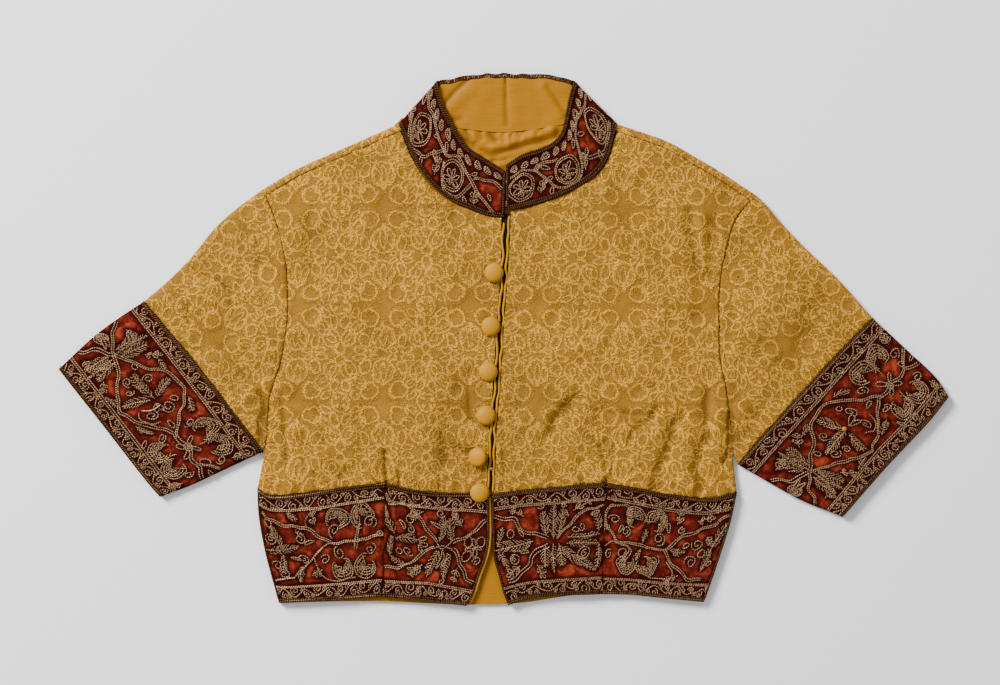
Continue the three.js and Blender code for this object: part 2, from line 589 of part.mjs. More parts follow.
function solidOf(geometry) {
  const bare = new THREE.BufferGeometry();
  bare.setAttribute('position', geometry.getAttribute('position').clone());
  if (geometry.index) bare.setIndex(geometry.index.clone());
  const merged = mergeVertices(bare, 1e-4);
  return new wasm.Manifold(new wasm.Mesh({
    numProp: 3,
    vertProperties: new Float32Array(merged.getAttribute('position').array),
    triVerts: new Uint32Array(merged.index.array),
  }));
}

function geometryOf(solid) {
  const mesh = solid.getMesh();
  const geometry = new THREE.BufferGeometry();
  geometry.setAttribute('position', new THREE.Float32BufferAttribute(mesh.vertProperties, 3));
  geometry.setIndex(Array.from(mesh.triVerts));
  return geometry;
}

function backBand() {
  const outline = [
    ...backHem.stops,
    ...left.bandSide.stops.slice(1, -1).reverse(),
    ...backWaist.stops.slice().reverse(),
    ...right.bandSide.stops.slice(1, -1),
  ];
  return slab(outline, BAND_WALL, 0);
}

// The lining of the back, which shows in the neck and where the fronts part at the hem.
// Small gathers run down from the collar seam.
function backLining() {
  const gatherCount = 7;
  const gatherRise = 0.9;
  const gatherReach = 26;
  const from = backNeck(0.5 - 0.36);
  const to = backNeck(0.5 + 0.36);
  const neckEdge = (share) => backNeck(0.5 + 0.72 * (share - 0.5));
  const hemEdge = (share) => backHem(0.06 + 0.88 * share);
  const down = (line, seams, neckEnd) => (share) => {
    const hemEnd = hemEdge(line);
    const middle = seams.side(0.5).clone().setX(seams.side(0.5).x * 0.92);
    return new THREE.QuadraticBezierCurve3(hemEnd, middle, neckEnd).getPoint(share);
  };
  const cut = patch(hemEdge, neckEdge, down(0, right, from), down(1, left, to));
  const rows = [0, 0.15, 0.3, 0.45, 0.6, 0.72, 0.82, 0.9, 0.95, 1];
  const columns = steps(28);
  const grid = cutGrid(cut, columns, rows);
  const lower = grid.map((row, rowIndex) => row.map((point, column) => {
    const below = Math.max(0, grid[rows.length - 1][column].y - point.y);
    const fade = Math.exp(-((below / gatherReach) ** 2));
    const gather = gatherRise * fade * Math.sin(Math.PI * gatherCount * columns[column]) ** 2;
    return point.clone().setZ(LINING_FLOOR + (rowIndex === rows.length - 1 ? 0.3 * gather : gather));
  }));
  const upper = lower.map((row) => row.map(({ x, y, z }) => new THREE.Vector3(x, y, z + LINING_WALL)));
  return wall(upper, lower);
}

// Half of the stand collar: along the neck from the centre front, over its fold at the neck point,
// and on under to the centre back. The velvet faces up in front and down behind.
function collarHalf(seams, isRight) {
  const backShare = (share) => (isRight ? share / 2 : 1 - share / 2);
  const frontPlan = (share, v) => seams.neck(share).lerp(seams.collarTop(share), v);
  const backPlan = (share, v) => backNeck(backShare(share)).lerp(backCollarTop(backShare(share)), v);
  const frontShares = steps(NECK_STEPS).slice(0, -1);
  const backShares = steps(BACK_NECK_STEPS / 2).slice(1);
  const faces = steps(COLLAR_ROWS).map((v) => {
    const frontLength = THREE.MathUtils.lerp(seams.neck.reach, seams.collarTop.reach, v);
    const backLength = THREE.MathUtils.lerp(backNeck.reach, backCollarTop.reach, v) / 2;
    const crown = BAND_LEVEL + COLLAR_CROWN * Math.sin(Math.PI * v);
    const upper = [
      ...frontShares.map((share) => (1 - share) * frontLength),
      ...FOLD_STOPS.slice().reverse(),
    ].map((distance) => {
      const heights = foldedFaces(distance, crown, BAND_WALL, true);
      const share = 1 - distance / frontLength;
      const inner = frontPlan(share - heights.inward / frontLength, v);
      return { outer: frontPlan(share, v).setZ(heights.outer), inner: inner.setZ(heights.inner) };
    });
    const lower = [
      ...FOLD_STOPS.slice(1),
      ...backShares.map((share) => share * backLength),
    ].map((distance) => {
      const heights = foldedFaces(distance, crown, BAND_WALL, false);
      const share = distance / backLength;
      const inner = backPlan(share + heights.inward / backLength, v);
      return { outer: backPlan(share, v).setZ(heights.outer), inner: inner.setZ(heights.inner) };
    });
    return [...upper, ...lower];
  });
  const outer = faces.map((row) => row.map((face) => face.outer));
  const inner = faces.map((row) => row.map((face) => face.inner));
  [outer, inner].forEach((grid) => clearOfNeck(grid, isRight));
  return wall(outer, inner);
}

// Moves a collar half's lower edge half a seam gap off the neck seam, and its end off the centre back.
function clearOfNeck(grid, isRight) {
  const halfGap = SEAM_GAP / 2;
  const lowerEdge = grid[0];
  const squares = lowerEdge.map((point, column) => {
    const before = lowerEdge[Math.max(column - 1, 0)];
    const after = lowerEdge[Math.min(column + 1, lowerEdge.length - 1)];
    const run = after.clone().sub(before).setZ(0).normalize();
    const square = new THREE.Vector3(-run.y, run.x, 0);
    return square.dot(grid[1][column].clone().sub(point)) < 0 ? square.negate() : square;
  });
  lowerEdge.forEach((point, column) => point.addScaledVector(squares[column], halfGap));
  grid.forEach((row) => {
    row[row.length - 1].x += isRight ? -halfGap : halfGap;
  });
}

function collarLining() {
  const start = (v) => right.neck(1).lerp(right.collarTop(1), v).add(new THREE.Vector3(7, 0, 0));
  const end = (v) => left.neck(1).lerp(left.collarTop(1), v).add(new THREE.Vector3(-7, 0, 0));
  const inset = 0.075;
  const lower = (u) => backNeck(inset + (1 - 2 * inset) * u);
  const upper = (u) => backCollarTop(inset + (1 - 2 * inset) * u);
  const flushLower = (u) => (u === 0 ? start(0) : (u === 1 ? end(0) : lower(u)));
  const flushUpper = (u) => (u === 0 ? start(1) : (u === 1 ? end(1) : upper(u)));
  const creases = [
    { x0: 3, y0: 206, x1: 3, y1: 246, width: 5, rise: 0.7 },
    { x0: -56, y0: 236, x1: -36, y1: 248, width: 4, rise: 0.8 },
    { x0: 44, y0: 236, x1: 60, y1: 214, width: 4, rise: 0.8 },
  ];
  const cut = patch(flushLower, flushUpper, start, end);
  const grid = cutGrid(cut, steps(14), steps(4));
  const floor = grid.map((row) => row.map((point) => {
    const rise = creases.reduce((sum, { x0, y0, x1, y1, width, rise: height }) => {
      const distance = distanceToRun(point.x, point.y, { x: x0, y: y0 }, { x: x1, y: y1 });
      return sum + height * Math.exp(-((distance / width) ** 2));
    }, 0);
    return point.clone().setZ(LINING_FLOOR + rise);
  }));
  const face = floor.map((row) => row.map(({ x, y, z }) => new THREE.Vector3(x, y, z + LINING_WALL)));
  return wall(face, floor);
}

// A cord covered in the silk, sewn along the front edge.
function piping(seams) {
  const inwards = Math.sign(seams.side(0).x);
  const points = steps(8).map((share) => {
    const edge = seams.centreFront(0.01 + 0.97 * share);
    const level = clothLevel(edge.x, edge.y);
    return new THREE.Vector3(edge.x + inwards * PIPING_RADIUS, edge.y, level - PIPING_RADIUS);
  });
  const section = new THREE.Shape();
  section.absarc(0, 0, PIPING_RADIUS, 0, 2 * Math.PI);
  return new THREE.ExtrudeGeometry(section, {
    steps: PIPING_STEPS,
    curveSegments: PIPING_SIDES / 2,
    extrudePath: new THREE.CatmullRomCurve3(points),
  });
}

// The strip behind the closed front edges.
function underlap() {
  const middle = (share) => right.centreFront(share).lerp(left.centreFront(share), 0.5);
  const shares = steps(ARMHOLE_STEPS).map((share) => 0.02 + 0.94 * share);
  const aside = (sign) => new THREE.Vector3((sign * UNDERLAP_WIDTH) / 2, 0, 0);
  const side = (sign) => shares.map((share) => middle(share).add(aside(sign)));
  return slab([...side(1), ...side(-1).reverse()], LINING_WALL, UNDERLAP_FLOOR);
}

function button() {
  const profile = BUTTON_DOME.map(({ radius, height }) => new THREE.Vector2(radius, height));
  return new THREE.LatheGeometry(profile, BUTTON_SIDES).rotateX(Math.PI / 2);
}

const SILK = { color: 0xb98a2e, roughness: 0.55, metalness: 0 };
const VELVET = { color: 0x8c2f1c, roughness: 0.85, metalness: 0 };
const LINING = { color: 0xd2a238, roughness: 0.45, metalness: 0 };
const COVERED = { color: 0xc99a3c, roughness: 0.6, metalness: 0 };

const jacket = new THREE.Group();

function add(name, geometry, finish) {
  const mesh = new THREE.Mesh(geometry, new THREE.MeshStandardMaterial(finish));
  mesh.name = name;
  jacket.add(mesh);
  return mesh;
}

add('back', back(), SILK);
add('band_back', backBand(), VELVET);
add('back_lining', backLining(), LINING);
[['right', right], ['left', left]].forEach(([side, seams]) => {
  const band = bandPanels(seams);
  add(`front_${side}`, front(seams), SILK);
  add(`sleeve_${side}`, sleeve(seams), SILK);
  add(`cuff_${side}`, cuff(seams), VELVET);
  add(`band_${side}_centre`, band.centre, VELVET);
  add(`band_${side}_side`, band.side, VELVET);
  add(`collar_${side}`, collarHalf(seams, side === 'right'), VELVET);
  add(`piping_${side}`, piping(seams), SILK);
});
add('collar_lining', collarLining(), LINING);
add('underlap', underlap(), LINING);

BUTTONS.forEach(({ x, y, tilt, lift }, index) => {
  const mesh = add(`button_${index + 1}`, button(), COVERED);
  mesh.position.set(x, y, clothLevel(x, y) + SEAM_GAP + lift);
  mesh.rotation.y = THREE.MathUtils.degToRad(tilt);
});

// The origin is the middle of the underside.
const middle = new THREE.Box3().setFromObject(jacket, true).getCenter(new THREE.Vector3());
jacket.position.set(-middle.x, -middle.y, 0);

export default jacket;
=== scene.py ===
"""Embroidered short jacket, buttoned and laid flat on its back.

Ochre figured silk, with collar, cuffs and waistband of rust velvet covered in couched cord.
Sizes in the sections are in millimetres, measured from the middle of the jacket; meshes are in metres.
"""

import bpy
import numpy as np
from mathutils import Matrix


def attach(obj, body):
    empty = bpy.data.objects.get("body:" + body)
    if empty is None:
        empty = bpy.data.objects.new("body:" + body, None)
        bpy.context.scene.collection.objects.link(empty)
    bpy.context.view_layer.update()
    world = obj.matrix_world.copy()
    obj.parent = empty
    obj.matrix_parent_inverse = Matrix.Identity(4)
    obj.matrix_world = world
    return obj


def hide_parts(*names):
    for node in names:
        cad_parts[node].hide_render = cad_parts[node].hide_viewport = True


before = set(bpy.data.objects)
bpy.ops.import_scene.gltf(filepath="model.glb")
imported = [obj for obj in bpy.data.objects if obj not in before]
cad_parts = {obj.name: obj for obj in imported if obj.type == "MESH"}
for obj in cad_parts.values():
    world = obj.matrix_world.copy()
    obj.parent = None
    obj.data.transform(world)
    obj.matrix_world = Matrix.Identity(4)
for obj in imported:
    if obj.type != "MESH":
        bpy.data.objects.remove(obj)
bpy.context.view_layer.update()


# The table, the light and the camera
# The jacket lies on a plain white table, under one big soft lamp at the upper left and a pale room,
# and is seen from straight above through a long lens.
VIEW_WIDTH = 0.950  # metres of table across the image
VIEW_MIDDLE = (-0.0033, -0.0022)
CAMERA_HEIGHT = 3.2
CLOTH_TOP = 0.008
TABLE_HALF = 9.0
LAMP_PLACE = (-2.6, 2.3, 2.7)
LAMP_SIZE = 1.8
LAMP_POWER = 430
ROOM_LIGHT = 0.66


def fill(tree, made, inputs):
    """Sets a node's sockets to values, or links them where the value is another node's socket."""
    for socket, value in inputs.items():
        if isinstance(value, bpy.types.NodeSocket):
            tree.links.new(value, made.inputs[socket])
        else:
            made.inputs[socket].default_value = value


def node(tree, kind, inputs=None, **settings):
    """Adds a shader node. Inputs fill its sockets, settings are its own properties."""
    made = tree.nodes.new("ShaderNode" + kind)
    for name, value in settings.items():
        setattr(made, name, value)
    fill(tree, made, inputs or {})
    return made


def srgb(code):
    """A colour from its sRGB hex value, as linear red, green, blue and full cover."""
    parts = np.array([int(code[at:at + 2], 16) for at in (1, 3, 5)]) / 255
    linear = np.where(parts <= 0.04045, parts / 12.92, ((parts + 0.055) / 1.055) ** 2.4)
    return (*linear.tolist(), 1.0)


def material(name, gloss=0.5):
    """A new material with a principled surface of that gloss. Returns it, its nodes and the surface."""
    made = bpy.data.materials.new(name)
    made.use_nodes = True
    made.node_tree.nodes.clear()
    surface = node(made.node_tree, "BsdfPrincipled", {"Specular IOR Level": gloss})
    node(made.node_tree, "OutputMaterial", {"Surface": surface.outputs[0]})
    return made, made.node_tree, surface


def tinted(tree, share, first, second):
    """A colour between two, by a linked share. Each of them is a hex value or a link."""
    first, second = (srgb(tone) if isinstance(tone, str) else tone for tone in (first, second))
    mix = node(tree, "Mix", {"Factor": share, "A": first, "B": second}, data_type="RGBA")
    return mix.outputs["Result"]


# Matt white laminate: no pattern shows from a step away, only a faint mottle that keeps it from
# being a flat colour.
table_top, tree, surface = material("matt_white_laminate")
mottle = node(tree, "TexNoise", {"Scale": 3.0, "Detail": 3.0}).outputs["Fac"]
fill(tree, surface, {"Base Color": tinted(tree, mottle, "#F8F8F9", "#FDFDFD"), "Roughness": 0.7})

table_mesh = bpy.data.meshes.new("table")
corner_signs = np.array([(-1, -1, 0), (1, -1, 0), (1, 1, 0), (-1, 1, 0)], float)
table_mesh.from_pydata((corner_signs * TABLE_HALF).tolist(), [], [(0, 1, 2, 3)])
table_mesh.materials.append(table_top)
table = bpy.data.objects.new("table", table_mesh)
bpy.context.scene.collection.objects.link(table)

lamp_data = bpy.data.lights.new("soft_lamp", "AREA")
lamp_data.shape = "DISK"
lamp_data.size = LAMP_SIZE
lamp_data.energy = LAMP_POWER
lamp = bpy.data.objects.new("soft_lamp", lamp_data)
lamp.location = LAMP_PLACE
lamp.rotation_euler = (-lamp.location).to_track_quat("-Z", "Y").to_euler()
bpy.context.scene.collection.objects.link(lamp)

room = bpy.data.worlds.new("pale_room")
room.use_nodes = True
room.node_tree.nodes["Background"].inputs["Color"].default_value = srgb("#FBFCFF")
room.node_tree.nodes["Background"].inputs["Strength"].default_value = ROOM_LIGHT
bpy.context.scene.world = room

camera_data = bpy.data.cameras.new("camera")
camera_data.lens = camera_data.sensor_width * (CAMERA_HEIGHT - CLOTH_TOP) / VIEW_WIDTH
camera_data.dof.use_dof = False
camera = bpy.data.objects.new("camera", camera_data)
camera.location = (*VIEW_MIDDLE, CAMERA_HEIGHT)
bpy.context.scene.collection.objects.link(camera)
bpy.context.scene.camera = camera


# Back
# One panel of figured silk, flat on the table. It comes up round both shoulders to a seam a
# finger's width down the front.
BOX_SHIFT = np.array([-0.010, 0.622, 0.0])  # from the seam tables' zero to the middle of the box
METRES = 0.001
SEAM_GAP = 0.3
SILK_WALL = 2.0  # silk, interlining and lining
SILK_LEVEL = 7.8
FOLD_REACH = 6.0  # how far in from a fold the cloth is still rounding over
FOLD_MIDDLE = 4.1
SHOULDER_SEAM_IN = 7.0
CREASE_SCALE = 1.6
SIDES = ("right", "left")


def seam(*corners):
    """A smooth line through a seam's corners, read by the share of its length.

    Centripetal Catmull-Rom: the knots are the square roots of the corners' distances, and every
    stretch blends three blends of its four nearest corners.
    """
    points = np.array(corners, float)
    points = np.vstack([2 * points[0] - points[1], points, 2 * points[-1] - points[-2]])
    knots = np.append(0, np.cumsum(np.sqrt(np.linalg.norm(np.diff(points, axis=0), axis=1))))
    places = np.linspace(knots[1], knots[-2], 400)
    at = np.clip(np.searchsorted(knots, places, "right") - 1, 1, len(points) - 3)

    def blend(first, second, low, high):
        share = ((places - knots[low]) / (knots[high] - knots[low]))[:, None]
        return first * (1 - share) + second * share

    one, two, three = (
        blend(points[at + step], points[at + step + 1], at + step, at + step + 1) for step in (-1, 0, 1)
    )
    run = blend(blend(one, two, at - 1, at + 1), blend(two, three, at, at + 2), at, at + 1)
    reach = np.append(0, np.cumsum(np.linalg.norm(np.diff(run, axis=0), axis=1)))

    def line(share):
        place = np.clip(share, 0, 1) * reach[-1]
        return np.stack([np.interp(place, reach, run[:, axis]) for axis in (0, 1)], -1)

    line.reach = reach[-1]
    return line


def seams(**corners):
    """A pair of smooth lines, one on each side of the jacket."""
    return {side: seam(*corners[side]) for side in SIDES}


shoulder = seams(
    right=((-100, 205), (-127, 193), (-161, 178), (-195, 163), (-228.5, 143)),
    left=((108, 205), (135.5, 196), (158, 187.5), (181, 174.5), (204, 161), (240, 137.5)),
)
neck = seams(
    right=((0.5, 116.5), (-13, 117.5), (-31, 124), (-49, 131.5), (-66, 144), (-78.5, 160),
           (-87.5, 176), (-94.5, 192.5), (-100, 205)),
    left=((4.5, 123), (19.5, 126), (39.5, 131.5), (58, 139), (74.5, 147.5), (89, 158),
          (98.5, 171), (103.5, 187.5), (108, 205)),
)
armhole = seams(
    right=((-228.5, 143), (-216, 110.5), (-208.5, 81), (-205.5, 53.5), (-206.5, 11),
           (-211.5, -19.5), (-222.5, -56.5), (-225.5, -95.5)),
    left=((240, 137.5), (221, 114.5), (212.5, 87), (206.5, 59.5), (205, 20), (206, -18),
          (211.5, -45), (215, -71), (218, -104)),
)
side_seam = seams(
    right=((-225.5, -95.5), (-227.2, -107), (-229.5, -118.5), (-234, -141)),
    left=((218, -104), (219, -119), (222, -145)),
)
band_side = seams(
    right=((-234, -141), (-232.5, -167.5), (-226.5, -201), (-213.5, -250.5)),
    left=((222, -145), (216, -172.5), (204.5, -209.5), (190.5, -249.5)),
)
underarm = seams(
    right=((-225.5, -95.5), (-228.2, -106.5)),
    left=((218, -104), (222.5, -118.5)),
)
back_neck = seam((-100, 205), (-70, 204), (-44, 202), (-18.5, 199), (4, 198.5), (31, 202), (55.5, 207),
                 (82, 208.5), (108, 205))
back_waist = seam((-234, -141), (-120, -147), (0, -149), (120, -148), (222, -145))
# Creases and soft ridges: how wide, how far up or down, and the corners of their run.
CREASES = (
    (2.4, -1.5, (-211, -54), (-208, -78), (-206.7, -99), (-206.7, -119)),
    (7.0, 1.2, (-198, -70), (-196, -110)),
    (3.6, -2.0, (-231, -50), (-225.6, -69), (-231.7, -82), (-228.7, -97)),
    (3.2, -1.1, (-177, -66), (-172.7, -88), (-169.6, -99)),
    (9.0, 1.1, (-160, -70), (-148, -96)),
    (4.2, -1.4, (-151.5, -69), (-141, -79), (-134.8, -88.5)),
    (1.7, -1.8, (-112.9, -106), (-111.3, -137)),
    (6.0, 1.1, (-123, -110), (-124, -136)),
    (1.8, -1.3, (-180, -126), (-178, -138)),
    (1.8, -1.1, (-150, -122), (-157, -133)),
    (1.8, -0.8, (-33.3, -30), (-32.6, -66), (-29.5, -78)),
    (3.0, -0.9, (-59, -88), (-56, -117)),
    (4.0, -1.2, (-44.6, -102), (-28, -107)),
    (1.6, -1.0, (-34.6, -120), (-33.3, -136)),
    (1.6, -1.0, (-100, -122), (-98.4, -138)),
    (1.6, -0.9, (-80, -126), (-81, -140)),
    (1.6, -0.9, (-62, -130), (-61, -143)),
    (5.0, -1.8, (69.4, -54), (60, -63), (49.7, -76), (45, -88.5)),
    (9.0, 1.3, (82, -58), (64, -96)),
    (2.5, -1.2, (69.4, -54), (83, -58)),
    (2.2, -1.3, (81.5, -66.5), (102.7, -69), (128, -71), (140.6, -70), (148, -63)),
    (3.0, -1.7, (142, -72.6), (133, -79), (125.4, -84), (118, -98)),
    (8.0, 1.1, (150, -84), (140, -112)),
    (4.6, -1.9, (169.4, -72), (163, -81), (157, -99), (152.7, -114), (145, -125), (144.4, -141)),
    (8.0, 1.3, (176, -84), (170, -130)),
    (4.8, -2.0, (193.6, -50), (192, -76), (195, -91), (186, -104), (183.7, -122), (187.5, -142)),
    (6.0, 1.1, (203, -70), (200, -130)),
    (1.8, -1.5, (84.5, -94.5), (90.6, -102), (96.6, -116), (98.5, -137)),
    (1.8, -1.0, (98.5, -94.5), (91, -102)),
    (1.5, -0.9, (104.6, -102), (102.3, -138)),
    (2.0, -1.2, (165.6, -128), (161.8, -141)),
    (2.0, -1.0, (130, -120), (122.4, -126.5)),
    (1.8, -0.9, (72, -118), (76, -137)),
    (1.8, -0.8, (1.2, -68), (-0.3, -111), (2, -138)),
    (3.2, -2.5, (216, -72), (216.3, -104), (211, -116)),
    (3.0, -0.9, (130, -48), (143, -45)),
    (2.5, -1.5, (-297, 72), (-294, 65.6), (-287.7, 61.6), (-269, 55), (-259.7, 45.6), (-258.4, 32)),
    (10.0, 1.3, (-284, 48), (-272, 20)),
    (2.2, -1.3, (-299.6, 33.7), (-301, 16)),
    (1.8, -1.0, (-283.7, 31), (-269, 31)),
    (2.5, -0.9, (-233, 93), (-233, 62)),
    (2.0, -1.0, (-269, -10), (-259.7, 3)),
    (1.6, -0.9, (-204, 64), (-193, 65), (-182, 68)),
    (9.0, -1.2, (-216, -20), (-254, -47)),
    (11.0, 1.2, (-230, -44), (-258, -66)),
    (6.0, -1.5, (175, 122), (180, 96), (185, 70)),
    (6.0, 1.2, (186, 122), (191, 70)),
    (5.0, -1.4, (198, 112), (197, 88), (196, 64)),
    (8.0, -1.5, (240, -70), (222, -98)),
    (12.0, 1.2, (262, 60), (240, 8)),
    (14.0, -1.2, (300, 40), (270, -20)),
    (9.0, 1.1, (-196, 118), (-190, 60)),
    (7.0, -1.1, (-186, 112), (-182, 66)),
    (22.0, 0.9, (-60, 60), (-90, -10)),
    (24.0, 0.9, (60, 70), (92, -6)),
    (16.0, -0.9, (-40, -60), (-60, -120)),
)


def between(first, second, share):
    """The point at a share of the way from first to second."""
    return first + (second - first) * np.asarray(share, float)[..., None]


def join(first, second, turn):
    """Two lines end to end; the first ends at the share named turn."""
    def line(share):
        share = np.asarray(share, float)
        early = (share < turn)[..., None]
        return np.where(early, first(share / turn), second((share - turn) / (1 - turn)))
    return line


def stretch(line, start, end):
    """The part of a line between two shares of it."""
    return lambda share: line(start + (end - start) * np.asarray(share, float))


def backwards(line):
    """The same line from its end to its start."""
    return stretch(line, 1, 0)


def cut(lower, upper, start, end):
    """The flat cut between four seam lines, at u across and v up: a Coons patch.

    It is the straight blend from lower to upper, plus the one from start to end, less the
    two-way blend of the four corners.
    """
    def place(u, v):
        across = between(lower(u), upper(u), v)
        along = between(start(v), end(v), u)
        corners = between(between(lower(0), lower(1), u), between(upper(0), upper(1), u), v)
        return across + along - corners
    return place


def to_run(place, x0, y0, x1, y1):
    """Distance from each place to a straight run."""
    start, step = np.array([x0, y0], float), np.array([x1 - x0, y1 - y0], float)
    share = np.clip(((place - start) @ step) / (step @ step), 0, 1)
    return np.linalg.norm(place - start - share[..., None] * step, axis=-1)


def to_line(place, line, count=60):
    """Distance from each place to a seam line, and how far along the line the nearest point is."""
    stations = line(np.linspace(0, 1, count))
    flat = place.reshape(-1, 1, 2)
    gap = np.linalg.norm(flat - stations, axis=-1)
    nearest = np.clip(gap.argmin(1), 1, count - 2)
    run = stations[nearest + 1] - stations[nearest - 1]
    offset = ((flat[:, 0] - stations[nearest - 1]) * run).sum(-1) / (run * run).sum(-1)
    foot = stations[nearest - 1] + np.clip(offset, -0.5, 1.5)[:, None] * run
    away = np.minimum(np.linalg.norm(flat[:, 0] - foot, axis=-1), gap.min(1))
    steps = np.append(0, np.cumsum(np.linalg.norm(np.diff(stations, axis=0), axis=1)))
    along = steps[nearest - 1] + np.clip(offset, 0, 1) * np.linalg.norm(run, axis=-1)
    return away.reshape(place.shape[:-1]), along.reshape(place.shape[:-1])


def creased(place, rows):
    """Rise of the cloth: each crease adds its height times exp(-(distance / width) squared)."""
    rise = 0
    for width, height, *corners in rows:
        away = np.min([to_run(place, *a, *b) for a, b in zip(corners, corners[1:])], axis=0)
        rise = rise + CREASE_SCALE * height * np.exp(-(away / width) ** 2)
    return rise


def waviness(place, height, longest, shortest, seed, waves=30):
    """Soft unevenness: a sum of sine waves of drawn direction, length and phase."""
    draw = np.random.default_rng(seed)
    length = draw.uniform(shortest, longest, waves)
    angle = draw.uniform(0, 2 * np.pi, waves)
    phase = draw.uniform(0, 2 * np.pi, waves)
    sway = sum(
        np.sin(2 * np.pi * (place[..., 0] * np.cos(a) + place[..., 1] * np.sin(a)) / size + p)
        for size, a, p in zip(length, angle, phase)
    )
    return height * sway / np.sqrt(waves / 2)


def sewn(place, lines, depth=1.5, roll=1.3, pucker=0.42, pitch=8.0, reach=9.0, seed=3):
    """The dip along sewn edges, and the small puckers that run in from them.

    Depth times exp(-distance / roll) down, plus a sine along the seam that fades with distance.
    """
    rise = 0
    for line in lines:
        away, along = to_line(place, line)
        sway = waviness(place, 2.2, 60, 25, seed)
        strength = np.clip(0.7 + 0.45 * waviness(place, 1.0, 55, 24, seed + 1), 0.1, 1.6)
        ripple = strength * np.sin(2 * np.pi * along / pitch + sway) * np.exp(-away / reach)
        rise = rise - depth * np.exp(-away / roll) + pucker * ripple
    return rise


def round_over(distance):
    """0 at a fold, 1 from the fold's reach inwards, along a quarter ellipse."""
    return np.sqrt(1 - (1 - np.clip(distance / FOLD_REACH, 0, 1)) ** 2)


def lifted(place, height):
    """Places on the table with a height above it."""
    return np.concatenate([place, np.broadcast_to(height, place.shape[:-1])[..., None]], -1)


def stops(count, width, close=(0.5, 1.2, 2.4)):
    """Even shares from 0 to 1, with more close to both ends."""
    near = np.array(close) / width
    return np.unique(np.concatenate([np.linspace(0, 1, count + 1), near, 1 - near]).round(6))


def mesh_of(points, quads, chart, caps=None):
    """A smooth mesh from points in mm, four-cornered faces, optional end caps and a chart (UV)."""
    a, b, c, d = (points[quads[:, corner]] for corner in range(4))
    volume = np.einsum("ij,ij->i", a, np.cross(b, c) + np.cross(c, d)).sum()
    if volume < 0:
        quads, chart = quads[:, ::-1], chart[:, ::-1]
        caps = None if caps is None else caps[:, ::-1]
    corners = quads.ravel()
    starts = np.arange(len(quads)) * 4
    spots = chart.reshape(-1, 2)
    if caps is not None:
        corners = np.concatenate([corners, caps.ravel()])
        starts = np.concatenate([starts, starts[-1] + 4 + np.arange(len(caps)) * caps.shape[1]])
        spots = np.concatenate([spots, np.zeros((caps.size, 2))])
    mesh = bpy.data.meshes.new("cloth")
    mesh.vertices.add(len(points))
    mesh.vertices.foreach_set("co", ((points + BOX_SHIFT) * METRES).ravel())
    mesh.loops.add(len(corners))
    mesh.loops.foreach_set("vertex_index", corners.astype(np.int32))
    mesh.polygons.add(len(starts))
    mesh.polygons.foreach_set("loop_start", starts.astype(np.int32))
    mesh.update(calc_edges=True)
    mesh.uv_layers.new(name="chart").uv.foreach_set("vector", (spots * METRES).ravel())
    mesh.validate()
    mesh.shade_smooth()
    mesh.set_sharp_from_angle(angle=np.radians(60))
    return mesh


def numbered(mesh, name, values):
    """Keeps a number from 0 to 1 at each point of a wall's two faces, for its material to read."""
    flat = np.clip(values, 0, 1).ravel()
    numbers = np.zeros(len(mesh.vertices), np.float32)
    numbers[:len(flat)] = flat
    numbers[len(flat):2 * len(flat)] = flat
    mesh.attributes.new(name, "FLOAT", "POINT").data.foreach_set("value", numbers)


def grid_faces(rows, columns, first=0, ring=False):
    """Corner numbers of a grid's faces, row by row. A ring's last column joins its first."""
    row = np.arange(rows - 1)[:, None]
    column = np.arange(columns if ring else columns - 1)[None, :]
    after = (column + 1) % columns
    corners = [row * columns + column, row * columns + after,
               (row + 1) * columns + after, (row + 1) * columns + column]
    return first + np.stack(corners, -1).reshape(-1, 4)


def wall(outer, inner, chart, ring=False):
    """A closed thin wall between two grids of points. Returns points, faces and chart corners."""
    rows, columns = outer.shape[:2]
    count = rows * columns
    face = grid_faces(rows, columns, ring=ring)
    spot = grid_faces(rows, chart.shape[1])
    across = np.arange(columns if ring else columns - 1)
    ends = [(across, (across + 1) % columns, across, across + 1)]
    low = (rows - 1) * columns
    chart_low = (rows - 1) * chart.shape[1]
    ends.append((low + (across + 1) % columns, low + across, chart_low + across + 1, chart_low + across))
    if not ring:
        up = np.arange(rows - 1) * columns
        ends.append((up + columns, up, up + columns, up))
        ends.append((up + columns - 1, up + 2 * columns - 1, up + columns - 1, up + 2 * columns - 1))
    rims = [np.stack([to, start, start + count, to + count], -1) for start, to, _, _ in ends]
    rim_spots = [np.stack([b, a, a, b], -1) for _, _, a, b in ends]
    points = np.concatenate([outer.reshape(-1, 3), inner.reshape(-1, 3)])
    faces = np.concatenate([face, face[:, ::-1] + count, *rims])
    flat_chart = chart.reshape(-1, 2)
    spots = flat_chart[np.concatenate([spot, spot[:, ::-1], *rim_spots])]
    return points, faces, spots


def sheet_mesh(face, thickness, chart):
    """The mesh of a cloth of even thickness under its face."""
    return mesh_of(*wall(face, lifted(face[..., :2], face[..., 2] - thickness), chart))


def put_together(walls):
    """Several walls as one set of points, faces and chart corners."""
    first = np.cumsum([0] + [len(points) for points, _, _ in walls[:-1]])
    faces = [faces + start for (_, faces, _), start in zip(walls, first)]
    return (np.concatenate([points for points, _, _ in walls]), np.concatenate(faces),
            np.concatenate([spots for _, _, spots in walls]))


def piece(name, mesh, finish, slot, *nodes):
    """Puts a mesh in the scene as a piece of the jacket, in place of the named solids."""
    mesh.name = name
    mesh.materials.append(finish)
    made = bpy.data.objects.new(name, mesh)
    bpy.context.scene.collection.objects.link(made)
    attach(made, "root")
    if nodes:
        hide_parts(*nodes)
    return made


def laid(outer):
    """Works out the steps along a sheet's rows and columns, and keeps and returns nothing."""
    run = np.linalg.norm(np.diff(outer, axis=1), axis=-1)
    rise = np.linalg.norm(np.diff(outer, axis=0), axis=-1)


